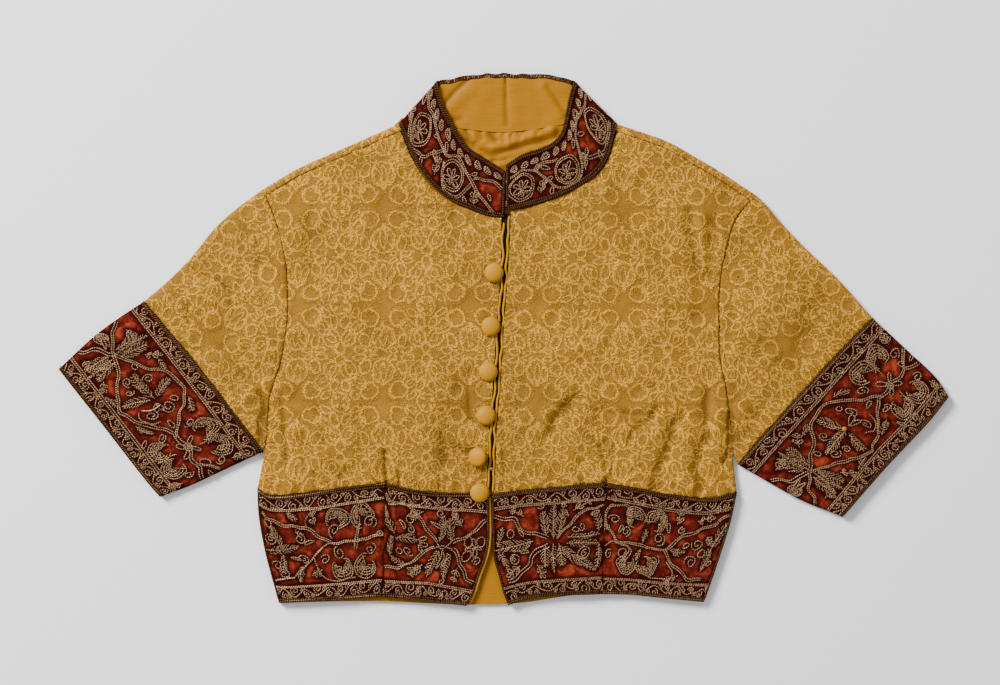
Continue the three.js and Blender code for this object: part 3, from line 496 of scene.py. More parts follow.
# Figured silk: a satin ground with a raised lacy figure of rings, palmettes and leaves, repeated
# about every hand's breadth and mirrored left to right and up and down. The eye sees pale fuzzy
# lines on an ochre ground. The chart gives each oval's middle, half sizes, turn and line width.
REPEAT_WIDTH = 82.0
REPEAT_HEIGHT = 93.0
OVALS = (
    # x, y, half width, half height, turn, line; a line of 0 is a filled spot
    (13.8, 11.8, 8.2, 7.8, 0, 2.1),
    (0.0, 31.0, 10.4, 11.4, 0, 1.9),
    (0.0, 30.0, 2.6, 8.4, 0, 1.9),
    (6.0, 29.6, 2.2, 7.4, -14, 1.8),
    (0.0, 18.0, 2.0, 2.4, 0, 0.0),
    (37.0, 4.0, 2.1, 2.1, 0, 0.0),
    (41.0, 0.0, 8.6, 9.2, 0, 1.8),
    (27.2, 7.0, 5.0, 2.8, 38, 1.9),
    (24.5, 20.6, 8.4, 5.8, 40, 1.8),
    (24.5, 20.6, 3.8, 1.6, 40, 1.4),
    (35.5, 16.0, 3.8, 5.6, -18, 2.0),
    (33.0, 31.0, 7.2, 9.0, -25, 1.9),
    (33.0, 31.0, 2.6, 4.4, -25, 1.7),
    (17.5, 34.0, 4.4, 6.8, 22, 2.1),
    (41.0, 40.5, 4.8, 5.4, 0, 2.2),
    (22.5, 43.2, 5.6, 2.6, -12, 1.9),
    (9.5, 43.4, 3.6, 2.2, 15, 1.7),
)
THREAD_FUZZ = 2.1  # mm that the figure's edges wander
FILIGREE_REACH = 2.6  # mm round the figure's lines that small worm-like threads fill
FIGURE_DRIFT = 10.0  # mm that the figure strays from its even repeat, from one side to the other
SILK_DARKEST = 0.6  # share of its brightness that the silk keeps in the deepest fold, under painted shade


def maths(tree, operation, *values):
    """The result of one operation on its values, each a number or a link."""
    return node(tree, "Math", dict(enumerate(values)), operation=operation).outputs[0]


def vectors(tree, operation, first, second=None):
    """The same for places: one operation on one or two of them, or a place times a number."""
    inputs = {0: first}
    if second is not None:
        inputs["Scale" if operation == "SCALE" else 1] = second
    return node(tree, "VectorMath", inputs, operation=operation)


def noise(tree, place, scale, detail=2.0, roughness=0.5, distortion=0.0):
    """Soft noise over a place: how fine, in how many layers, how strong the fine ones, how swirled."""
    return node(tree, "TexNoise", {
        "Vector": place, "Scale": scale, "Detail": detail, "Roughness": roughness,
        "Distortion": distortion})


def remap(tree, value, low=0.0, high=1.0, to_low=0.0, to_high=1.0, kind="LINEAR"):
    """A value carried from one range to another and held at its ends."""
    return node(tree, "MapRange", {
        "Value": value, "From Min": low, "From Max": high, "To Min": to_low, "To Max": to_high,
    }, interpolation_type=kind).outputs[0]


def ramp(tree, share, *tones):
    """A colour by a linked share, from places along a row and their hex values."""
    made = node(tree, "ValToRGB", {0: share})
    row = made.color_ramp.elements
    row[0].position, row[-1].position = tones[0][0], tones[-1][0]
    for place, _ in tones[1:-1]:
        row.new(place)
    for element, (_, code) in zip(row, tones):
        element.color = srgb(code)
    return made.outputs[0]


def relief(tree, height, depth, strength):
    """A surface's small ups and downs, that are this many metres deep."""
    return node(tree, "Bump", {
        "Height": height, "Distance": depth, "Strength": strength}).outputs[0]


def charted(tree):
    """A point's place on the flat cut, or round and along a cord."""
    return node(tree, "UVMap", uv_map="chart").outputs[0]


def painted_fold_shade(tree, colour, darkest, brightness=1.0):
    """A colour times its brightness, and times a painted shade: 1 on the crests down to the darkest in
    the folds.
    """
    fold_shade = node(tree, "Attribute", attribute_name="fold_shade").outputs["Fac"]
    dimmed = maths(tree, "MULTIPLY", brightness, remap(tree, fold_shade, to_low=1.0, to_high=darkest))
    return vectors(tree, "SCALE", colour, dimmed).outputs[0]


silk, tree, surface = material("figured_silk_satin", 0.14)
in_mm = vectors(tree, "SCALE", charted(tree), 1 / METRES).outputs[0]
drift = noise(tree, in_mm, 0.07, 3.0, 0.62).outputs["Color"]
drift = vectors(tree, "ADD", drift, (-0.5, -0.5, -0.5)).outputs[0]
drift = vectors(tree, "SCALE", drift, FIGURE_DRIFT).outputs[0]
place = node(tree, "SeparateXYZ", {0: vectors(tree, "ADD", in_mm, drift).outputs[0]}).outputs
spot = node(tree, "CombineXYZ", {
    0: maths(tree, "PINGPONG", place[0], REPEAT_WIDTH / 2),
    1: maths(tree, "PINGPONG", place[1], REPEAT_HEIGHT / 2)}).outputs[0]
distances = []
for x, y, half_width, half_height, turn, line in OVALS:
    oval = node(tree, "Mapping", {
        "Vector": spot, "Location": (x, y, 0), "Rotation": (0, 0, np.radians(turn)),
        "Scale": (half_width, half_height, 1),
    }, vector_type="TEXTURE").outputs[0]
    off = maths(tree, "SUBTRACT", vectors(tree, "LENGTH", oval).outputs["Value"], 1.0)
    if line:
        off = maths(tree, "ABSOLUTE", off)
    distances.append(maths(tree, "MULTIPLY_ADD", off, (half_width + half_height) / 2, -line / 2))
figure = distances[0]
for distance in distances[1:]:
    figure = maths(tree, "MINIMUM", figure, distance)
fuzz = noise(tree, in_mm, 0.5, 2.0, 0.62).outputs["Fac"]
frayed = maths(tree, "MULTIPLY_ADD", fuzz, 2 * THREAD_FUZZ, -THREAD_FUZZ)
edge = maths(tree, "ADD", figure, frayed)
worms = maths(tree, "SUBTRACT", noise(tree, in_mm, 0.36, 1.5, distortion=0.9).outputs["Fac"], 0.5)
worms = maths(tree, "MULTIPLY_ADD", maths(tree, "ABSOLUTE", worms), 15.0, -0.5)
filigree = maths(tree, "MAXIMUM", worms, maths(tree, "SUBTRACT", figure, FILIGREE_REACH))
edge = maths(tree, "MINIMUM", edge, filigree)
raised = remap(tree, edge, 0.75, -0.55, kind="SMOOTHSTEP")
specks = noise(tree, in_mm, 0.8, 2.0, 0.85).outputs["Fac"]
worn = noise(tree, in_mm, 0.016, 4.0).outputs["Fac"]
ground = ramp(tree, fuzz, (0.3, "#845712"), (0.72, "#9A6C10"))
threads = ramp(tree, specks, (0.38, "#7E571C"), (0.48, "#B98528"), (0.62, "#F2AE3C"))
cloth = tinted(tree, raised, ground, threads)
faded = remap(tree, worn, 0.35, 0.7, 0.9, 1.14)
# The silk's colour is darkened in its folds and seam dips: painted shade.
fill(tree, surface, {
    "Base Color": painted_fold_shade(tree, cloth, SILK_DARKEST, faded),
    "Roughness": remap(tree, raised, to_low=0.46, to_high=0.72),
    "Normal": relief(tree, maths(tree, "ADD", specks, raised), 0.0009, 1.0)})

OUTWARDS = {"right": -1, "left": 1}
CHART_ZERO = {"right": (-31.8, 32.8), "left": (32.6, 31.2)}  # a plain patch on a stem of the figure
neck_share = {side: 1 - SHOULDER_SEAM_IN / neck[side].reach for side in SIDES}
arm_share = {side: SHOULDER_SEAM_IN / armhole[side].reach for side in SIDES}


def seam_step(side, share):
    """From the shoulder fold to the shoulder seam, at a share of the shoulder."""
    inner = neck[side](neck_share[side]) - shoulder[side](0)
    outer = armhole[side](arm_share[side]) - shoulder[side](1)
    return between(inner, outer, share)


def shoulder_seam(side):
    """The seam at the front end of the shoulder, from neck to armhole."""
    return lambda share: shoulder[side](share) + seam_step(side, share)


def shoulder_strip(side):
    """The strip that comes up round the shoulder: a half turn about the fold, then on to the seam."""
    lower = np.array([-16, -9, -6, -4.2, -3, -2, -1.2, -0.6, -0.25])
    upper = np.array([0, 0.25, 0.6, 1.2, 2, 3, 4.2, 5.2, 6, 6.6, SHOULDER_SEAM_IN - SEAM_GAP / 2])
    across = np.concatenate([lower, upper])[:, None]
    share = stops(110, shoulder[side].reach)[None, :]
    across, share = np.broadcast_arrays(across, share)
    step = seam_step(side, share)
    step = step / np.linalg.norm(step, axis=-1, keepdims=True)
    fold = shoulder[side](share)
    plan = fold + step * np.abs(across)[..., None]
    crown = SILK_LEVEL + creased(plan, CREASES) + waviness(plan, 0.2, 40, 12, 5)
    crown = crown - 0.9 * np.exp(-(SHOULDER_SEAM_IN - across) / 1.3)
    turn = round_over(np.abs(across))
    inward = SILK_WALL * (1 - np.clip(np.abs(across) / FOLD_REACH, 0, 1))
    face = np.where(across >= 0, crown, 0.0)
    lining = np.where(across >= 0, crown - SILK_WALL, SILK_WALL)
    outer = lifted(plan, FOLD_MIDDLE + (face - FOLD_MIDDLE) * turn)
    inner = lifted(plan + step * inward[..., None], FOLD_MIDDLE + (lining - FOLD_MIDDLE) * turn)
    return wall(outer, inner, plan - CHART_ZERO[side])


shoulders_and_neck = join(
    join(backwards(shoulder_seam("right")), back_neck, 1 / 3), shoulder_seam("left"), 0.6)
sides_up = {side: join(backwards(side_seam[side]), backwards(armhole[side]), 0.2) for side in SIDES}
back_cut = cut(back_waist, shoulders_and_neck, sides_up["right"], sides_up["left"])
u, v = np.meshgrid(stops(48, 440), stops(40, 350))
plan = back_cut(u, v)
back_face = lifted(plan, 0.0)
flat_back = wall(back_face, lifted(plan, SILK_WALL), plan - CHART_ZERO["left"])
back_mesh = mesh_of(*put_together([flat_back, shoulder_strip("right"), shoulder_strip("left")]))
back = piece("back_panel", back_mesh, silk, "silk", "back")
laid(back_face)


# Fronts
# Two panels of the same silk with their lining, one dart each, sewn to the back at shoulder and
# side and to the sleeves. They lie on the back, and settle on to it at the side seams.
centre_front = seams(
    right=((-14, -147), (-12.5, -118.5), (-11, -86), (-8, -52.5), (-4, 14), (-1.5, 47), (0.5, 85),
           (0.5, 116.5)),
    left=((-11.5, -147.5), (-10, -118.5), (-9, -86), (-6, -52.5), (-2, 14), (0.5, 47), (3, 85),
          (4.5, 123)),
)
waist_centre = seams(
    right=((-14, -147), (-30, -146), (-55.5, -146), (-89, -142.5), (-111.5, -136.5)),
    left=((-11.5, -147.5), (17.5, -143.5), (52, -140.5), (77.5, -138), (97.5, -136.5)),
)
waist_side = seams(
    right=((-111.5, -136.5), (-134.5, -139), (-160, -142), (-185, -145.5), (-206.5, -148),
           (-223.5, -147.5), (-234, -141)),
    left=((97.5, -136.5), (111.5, -139), (136.5, -143.5), (162, -148), (196, -151),
          (209.5, -148.5), (222, -145)),
)
PIPING_ROOM = 2.3  # the cloth stops this far back from the finished edge
FOLD_STARTS = 0.5  # this far under the level of the cloth a fold begins to get painted shade
FOLD_FULL = 2.4
BUTTON_SPOTS = ((-9, 63.5), (-12, 12.5), (-14.5, -30.5), (-16.5, -72), (-23.5, -111.5), (-22.5, -145.5))
BUTTON_DIMPLES = [(9.5, -0.9, (x, y - 0.5), (x, y + 0.5)) for x, y in BUTTON_SPOTS[:5]]
SEAM_INSET = 0.0014  # share of a panel that its turned edge stands back from the seam
shut_edges = [line for side in SIDES for line in (underarm[side], side_seam[side], band_side[side])]


def settled(plan, crown, wall_thickness):
    """Height of the upper layer: its crown, rounding down on to the layer under it at the sides."""
    edge = 2 * wall_thickness + SEAM_GAP
    away = np.min([to_line(plan, line, 12)[0] for line in shut_edges], axis=0)
    return edge + (np.maximum(crown, edge) - edge) * round_over(away)


for side in SIDES:
    top = join(lambda s: neck[side](np.minimum(s, neck_share[side])), shoulder_seam(side), 10 / 18)
    outside = join(backwards(side_seam[side]),
                   lambda s: armhole[side](np.maximum(1 - s, arm_share[side])), 5 / 25)
    waist = join(waist_centre[side], waist_side[side], 0.5)
    edge_in = np.array([OUTWARDS[side] * PIPING_ROOM, 0.0])
    shape = cut(waist, top, lambda s: centre_front[side](s) + edge_in, outside)
    u, v = np.meshgrid(stops(128, 230), stops(142, 300))
    plan = shape(*(SEAM_INSET + (1 - 2 * SEAM_INSET) * share for share in (u, v)))
    crown = SILK_LEVEL + creased(plan, CREASES) + waviness(plan, 0.5, 50, 14, 11)
    crown = crown + sewn(plan, [armhole[side], neck[side], shoulder_seam(side)], pucker=0.5)
    crown = crown + sewn(plan, [waist_centre[side], waist_side[side]], pucker=0.75, pitch=10.0,
                         reach=14.0, seed=7)
    crown = crown + creased(plan, BUTTON_DIMPLES)
    face = lifted(plan, settled(plan, crown, SILK_WALL))
    mesh = sheet_mesh(face, SILK_WALL, plan - CHART_ZERO[side])
    # How deep each place lies in a fold, seam dip or button dimple, for the painted shade there.
    numbered(mesh, "fold_shade", (SILK_LEVEL - FOLD_STARTS - crown) / FOLD_FULL)
    front = piece(f"front_panel_{side}", mesh, silk, "silk", f"front_{side}")
    laid(face)


# Sleeves
# Elbow-length silk tubes, folded flat along the top. Each is sewn in at the armhole, and the
# figure of the silk runs along the sleeve.
sleeve_fold = seams(
    right=((-228.5, 143), (-252, 126), (-274, 106.5), (-298, 77), (-320.5, 54.5), (-341.5, 36.5)),
    left=((240, 137.5), (249.5, 128.5), (261, 114.5), (283.5, 90.5), (318, 57.5), (351, 20.5)),
)
cuff_seam = seams(
    right=((-341.5, 36.5), (-285.5, -31), (-228.2, -106.5)),
    left=((351, 20.5), (314, -17.5), (262.5, -73.5), (222.5, -118.5)),
)
SLEEVE_SLANT = {"right": 49.0, "left": -45.0}  # degrees from the body's up to the sleeve's
SLEEVE_SEED = {"right": 17, "left": 23}
FOLD_STEPS = np.array([0, 0.15, 0.5, 1.1, 1.9, 2.9, 4.2, 6.0])  # rows from a fold inwards, in mm


def tube_faces(away, crown, floor, thickness, is_upper):
    """Outer and inner heights of one layer of a flattened tube, and how far in the inner point is."""
    turn = round_over(away)
    face = crown if is_upper else np.full_like(crown, floor)
    back_face = face - thickness if is_upper else np.full_like(crown, thickness)
    inward = thickness * (1 - np.clip(away / FOLD_REACH, 0, 1))
    return (FOLD_MIDDLE + (face - FOLD_MIDDLE) * turn, FOLD_MIDDLE + (back_face - FOLD_MIDDLE) * turn,
            inward)


def flat_tube(shape, fold, under, rows, columns, crown_of, floor, thickness):
    """A flattened tube with a fold at each side: the upper layer from fold to underarm, and back.

    Each layer's height rounds over to the middle height within the folds' reach.
    """
    v = rows[:, None]
    length = np.linalg.norm(fold(rows) - under(rows), axis=-1)[:, None]
    even = np.linspace(0, 1, columns + 1)[None, 1:-1] * (1 - 14 / length) + 7 / length
    u = np.concatenate([FOLD_STEPS / length, even, 1 - FOLD_STEPS[::-1] / length], 1)
    v = np.broadcast_to(v, u.shape)
    plan = shape(u, v)
    away = np.minimum(u, 1 - u) * length
    far = np.where((u < 0.5)[..., None], plan[:, -1:], plan[:, :1])
    to_far = far - plan
    to_far = to_far / np.maximum(np.linalg.norm(to_far, axis=-1, keepdims=True), 1e-6)
    layers = []
    for is_upper in (True, False):
        crown = np.maximum(crown_of(plan), 2 * thickness + SEAM_GAP)
        outer, inner, inward = tube_faces(away, crown, floor, thickness, is_upper)
        layers.append((lifted(plan, outer), lifted(plan + to_far * inward[..., None], inner)))
    (top, top_in), (low, low_in) = layers
    outer = np.concatenate([top, low[:, -2:0:-1]], 1)
    inner = np.concatenate([top_in, low_in[:, -2:0:-1]], 1)
    around = np.linalg.norm(np.diff(np.concatenate([outer, outer[:, :1]], 1), axis=1), axis=-1)
    return outer, inner, np.concatenate([np.zeros((len(rows), 1)), np.cumsum(around, 1)], 1)


for side in SIDES:
    shape = cut(armhole[side], cuff_seam[side], sleeve_fold[side], underarm[side])

    def crown_of(plan):
        rise = creased(plan, CREASES) + waviness(plan, 0.5, 50, 14, SLEEVE_SEED[side])
        return SILK_LEVEL + rise + sewn(plan, [armhole[side], cuff_seam[side]], pucker=0.4, seed=9)

    rows = stops(72, 170)
    outer, inner, around = flat_tube(
        shape, sleeve_fold[side], underarm[side], rows, 56, crown_of, 0.0, SILK_WALL)
    slant = np.radians(SLEEVE_SLANT[side])
    turned = np.array([[np.cos(slant), np.sin(slant)], [-np.sin(slant), np.cos(slant)]])
    plan = np.concatenate([outer, outer[:, :1]], 1)[..., :2]
    chart = (plan - armhole[side](0.35)) @ turned
    mesh = mesh_of(*wall(outer, inner, chart, ring=True))
    crown = crown_of(outer[..., :2])
    # How deep each place lies in a fold or seam dip, for the painted shade there.
    numbered(mesh, "fold_shade", (SILK_LEVEL - FOLD_STARTS - crown) / FOLD_FULL)
    sleeve = piece(f"sleeve_tube_{side}", mesh, silk, "silk", f"sleeve_{side}")
    laid(np.concatenate([outer, outer[:, :1]], 1))


# Velvet bands
# The waistband is five panels of rust-red velvet on canvas: one behind, and two on each front,
# seamed at the darts. It is stiffer than the silk and hangs a little over the hem of the back.
BAND_WALL = 2.6
BAND_LEVEL = 8.2
BAND_WIDTH = {"centre": 104.0, "side": 120.0}  # a panel's own width and depth, for its chart
BAND_DEPTH = 103.0
END_LINE_IN = 1.2  # the dark cord along a panel's end stands this far in
BAND_WANDER = 0.9  # mm that the hand-laid cords stray from their chart
HEM_FALL = 0.7
PRESS_SHADE_CELL = 1.5  # cords press the pile flat and shade it, counted over squares of this size; the shade is painted
PRESS_SHADE_GAIN = 3.4
PRESS_SHADE_FREE = 0.15  # so little pressing and painted shade leaves the pile standing and unshaded
UNDERSIDE_LIFT = 1.1  # the velvet of an underside stands this far off the table, on its cords
band_front = seams(
    right=((-14, -147), (-14, -195), (-17.5, -209.5), (-22.5, -223), (-28, -240), (-34.5, -253)),
    left=((-11.5, -147.5), (-10, -199), (-9, -209.5), (-5, -223), (-0.5, -240), (4.5, -252.5)),
)
hem_centre = seams(
    right=((-34.5, -253), (-55.5, -250.5), (-80.5, -247.5), (-114.5, -244.5)),
    left=((4.5, -252.5), (23.5, -246.5), (43, -244), (94.5, -242)),
)
hem_side = seams(
    right=((-114.5, -244.5), (-131.5, -245.5), (-155.5, -247.5), (-213.5, -250.5)),
    left=((94.5, -242), (120, -242.5), (145, -245), (190.5, -249.5)),
)
dart = seams(
    right=((-111.5, -136.5), (-113.5, -190), (-114.5, -244.5)),
    left=((97.5, -136.5), (95.5, -190), (94.5, -242)),
)
back_hem = seam((-213.5, -250.5), (-155, -249), (-114, -249), (-40, -252), (15, -250.5), (60, -244),
                (94.5, -241), (148, -244), (190.5, -249.5))


def where(tree):
    """A point's place on its own piece, in metres."""
    return node(tree, "TexCoord").outputs["Object"]


# Crushed cotton velvet: the pile is rust red where it stands and orange where it is brushed over; round
# the cords it is nearly black, pile pressed down and painted shade. The eye sees soft patches some 10 mm
# across.
velvet, tree, surface = material("crushed_cotton_velvet", 0.03)
brushed = noise(tree, where(tree), 85.0, 3.0, 0.6, 0.8).outputs["Fac"]
pile = noise(tree, where(tree), 650.0, 2.0, 0.8).outputs["Fac"]
mottled = maths(tree, "MULTIPLY_ADD", pile, 0.35, brushed)
patches = ramp(tree, mottled, (0.50, "#380906"), (0.68, "#5A1A10"), (0.86, "#8E3720"))
# Nearly black round the cords: pressed pile and painted shade, by the count of cords near each place.
pressed_and_shaded = node(tree, "Attribute", attribute_name="pressed_and_shaded").outputs["Fac"]
fill(tree, surface, {
    "Base Color": tinted(tree, pressed_and_shaded, patches, "#270402"), "Roughness": 0.9,
    "Sheen Weight": 0.05, "Sheen Roughness": 0.35, "Sheen Tint": srgb("#C8522A"),
    "Normal": relief(tree, mottled, 0.0008, 0.6)})


def on_band(shape, size, dips, seed):
    """A front band panel's face, as a function of places in its own pattern, in mm."""
    def face(spot):
        u, v = spot[..., 0] / size[0], spot[..., 1] / size[1]
        plan = shape(u, v)
        crown = BAND_LEVEL - HEM_FALL * (1 - v) ** 2
        crown = crown + waviness(plan, 0.3, 70, 24, seed)
        crown = crown + sewn(plan, dips, depth=0.9, pucker=0.12, pitch=12)
        return lifted(plan, settled(plan, crown, BAND_WALL))
    return face


def press_and_shade(mesh, spots, strokes):
    """Marks where cords press the pile and where painted shade falls round them: a count of cord points
    near each place, as a share.
    """
    marks = np.concatenate([along(stroke, 2.0) for stroke in strokes])
    low = spots.reshape(-1, 2).min(0) - 3 * PRESS_SHADE_CELL
    size = np.ceil((spots.reshape(-1, 2).max(0) - low) / PRESS_SHADE_CELL).astype(int) + 4

    def cell_of(places):
        return np.clip(((places - low) / PRESS_SHADE_CELL).astype(int), 0, size - 1)

    index = cell_of(marks)
    count = np.zeros(size)
    np.add.at(count, (index[:, 0], index[:, 1]), 1.0)
    for _ in range(3):
        for axis in (0, 1):
            count = (count + np.roll(count, 1, axis) + np.roll(count, -1, axis)) / 3
    seen = cell_of(spots)
    numbered(mesh, "pressed_and_shaded", count[seen[..., 0], seen[..., 1]] * PRESS_SHADE_GAIN - PRESS_SHADE_FREE)


def along(stroke, step):
    """A stroke's points at even steps."""
    reach = np.append(0, np.cumsum(np.linalg.norm(np.diff(stroke, axis=0), axis=1)))
    count = max(3, int(np.ceil(reach[-1] / step)) + 1)
    places = np.linspace(0, reach[-1], count)
    return np.stack([np.interp(places, reach, stroke[:, axis]) for axis in (0, 1)], -1)


# Couched cord
# Twisted gilt and silver thread, laid on the velvet and held down by small stitches: scroll
# borders along both edges, and between them stems, curls, rings, shells and feathered leaves.
CORD_RADIUS = 0.6
FINE_SHARE = 0.8  # short stitches are of a finer thread
FINE_REACH = 12.0  # the longest stroke of the fine thread
EDGE_RADIUS = 1.05
EDGE_STEP = 1.8


def curl(x, y, radius, start, turns=1.35, hand=1):
    """A spiral: the radius shrinks evenly to a fifth while the angle runs on from start."""
    share = np.linspace(0, 1, 30)
    angle = np.radians(start) + hand * 2 * np.pi * turns * share
    reach = radius * (1 - 0.8 * share)
    return [np.stack([x + reach * np.cos(angle), y + reach * np.sin(angle)], -1)]


def ring(x, y, radius):
    """A circle."""
    angle = np.linspace(0, 2 * np.pi, 26)
    return [np.stack([x + radius * np.cos(angle), y + radius * np.sin(angle)], -1)]


def stem(*points):
    """A smooth line through the points."""
    return [seam(*points)(np.linspace(0, 1, 40))]


def twin(*points, apart=1.95):
    """Two such lines side by side, each half their distance off the middle."""
    (run,) = stem(*points)
    step = np.gradient(run, axis=0)
    square = np.stack([-step[:, 1], step[:, 0]], -1) / np.linalg.norm(step, axis=1, keepdims=True)
    return [run + square * apart * hand for hand in (-0.5, 0.5)]


def near_twin(*points):
    """The same, a little closer together."""
    return twin(*points, apart=1.9)


def turned_to(x, y, angle, local):
    """Moves strokes from a leaf's own axes, with its rib along x, to its place."""
    c, s = np.cos(np.radians(angle)), np.sin(np.radians(angle))
    return [np.stack([x + c * part[:, 0] - s * part[:, 1], y + s * part[:, 0] + c * part[:, 1]], -1)
            for part in local]


def feather(x, y, angle, length, width, pitch=2.7):
    """A feathered leaf: a rib, and pairs of slanting stitches as long as the leaf is wide there."""
    local = [np.array([(0, 0), (length / 2, 0), (length, 0)], float)]
    for place in np.arange(0.08 * length, 0.92 * length, pitch):
        half = width * np.sin(np.pi * (0.12 + 0.88 * place / length)) ** 0.7
        for hand in (-1, 1):
            local.append(np.array([(place, 0), (place + 0.5 * half, 0.62 * hand * half),
                                   (place + 1.1 * half, hand * half)]))
    return turned_to(x, y, angle, local)


def petal(x, y, angle, length, width=2.2):
    """A drop-shaped loop that starts and ends at its foot."""
    share = np.linspace(0, 2 * np.pi, 18)
    reach = length * (1 - np.cos(share)) / 2
    aside = width * np.sin(share) * (0.35 + 0.65 * reach / length)
    return turned_to(x, y, angle, [np.stack([reach, aside], -1)])


def shell(x, y, angle, radius):
    """A fan: four arcs inside each other, and short ribs."""
    local = []
    for share, sweep in ((1.0, 158), (0.78, 146), (0.56, 132), (0.34, 116)):
        turn = np.radians(np.linspace(-sweep, sweep, 22))
        local.append(radius * share * np.stack([np.cos(turn), np.sin(turn)], -1))
    for turn in np.radians((-132, -99, -66, -33, 0, 33, 66, 99, 132)):
        spoke = np.array([(0.1, 0), (0.55, 0), (0.94, 0)]) * radius
        local.append(np.stack([spoke[:, 0] * np.cos(turn), spoke[:, 0] * np.sin(turn)], -1))
    return turned_to(x, y, angle, local)


def spray(x, y, angle, length, pairs=2):
    """A twig with small petals in pairs."""
    local = [np.array([(0, 0), (length, 0)], float)]
    strokes = turned_to(x, y, angle, local)
    for place in np.linspace(0.25, 0.85, pairs) * length:
        (base,) = turned_to(x, y, angle, [np.array([(place, 0.0)])])
        for hand in (-38, 38):
            strokes += petal(base[0, 0], base[0, 1], angle + hand, 5.2, 1.6)
    return strokes + petal(*strokes[0][-1], angle, 5.2, 1.6)


def scroll(start, end, middle, swing, pitch=15.0):
    """A running scroll: a wave, with a curl in each of its hollows."""
    x = np.linspace(start, end, 90)
    wave = middle + swing * np.sin(2 * np.pi * (x - start) / (2 * pitch))
    strokes = [np.stack([x, wave], -1)]
    for index, centre in enumerate(np.arange(start + pitch / 2, end - 2, pitch)):
        up = 1 if index % 2 == 0 else -1
        strokes += curl(centre, middle - 0.55 * up * swing, swing * 1.05, 90 * up, 1.5, -up)
        strokes += petal(centre + pitch / 2, middle, 90 * up, swing * 1.1, 1.5)
        strokes += petal(centre + pitch * 0.3, middle + 0.9 * up * swing, 40 * up, swing * 0.8, 1.0)
    return strokes


def borders(width, depth, inset=0.3):
    """Scroll borders along both long edges, with a double line inside each."""
    strokes = []
    for edge, inwards in ((0.0, 1), (depth, -1)):
        line = edge + inwards * 2.0
        strokes += [np.array([(inset, line), (width / 2, line), (width - inset, line)])]
        strokes += scroll(inset + 1, width - inset - 1, edge + inwards * 8.6, 3.9, 13.0)
        for away in (13.8, 15.5):
            line = edge + inwards * away
            middle = (width / 2, line + 0.5 * inwards)
            strokes += [np.array([(inset, line), middle, (width - inset, line)])]
    return strokes


def edge_lines(width, depth, ends=()):
    """Dark double cords along both long edges, and along the ends that are named."""
    strokes = []
    for edge, inwards in ((0.0, 1), (depth, -1)):
        for away in (0.9, 3.0):
            line = edge + inwards * away
            strokes += [np.array([(0.3, line), (width / 2, line), (width - 0.3, line)])]
    for end in ends:
        strokes += [np.array([(end, 3.0), (end, depth / 2), (end, depth - 3.0)])]
    return strokes


def drawn(width, depth, chart):
    """A panel's strokes: its borders, then each shape of its chart at each of its places."""
    strokes = borders(width, depth)
    for shape, *places in chart:
        for place in places:
            strokes += shape(*place)
    return strokes


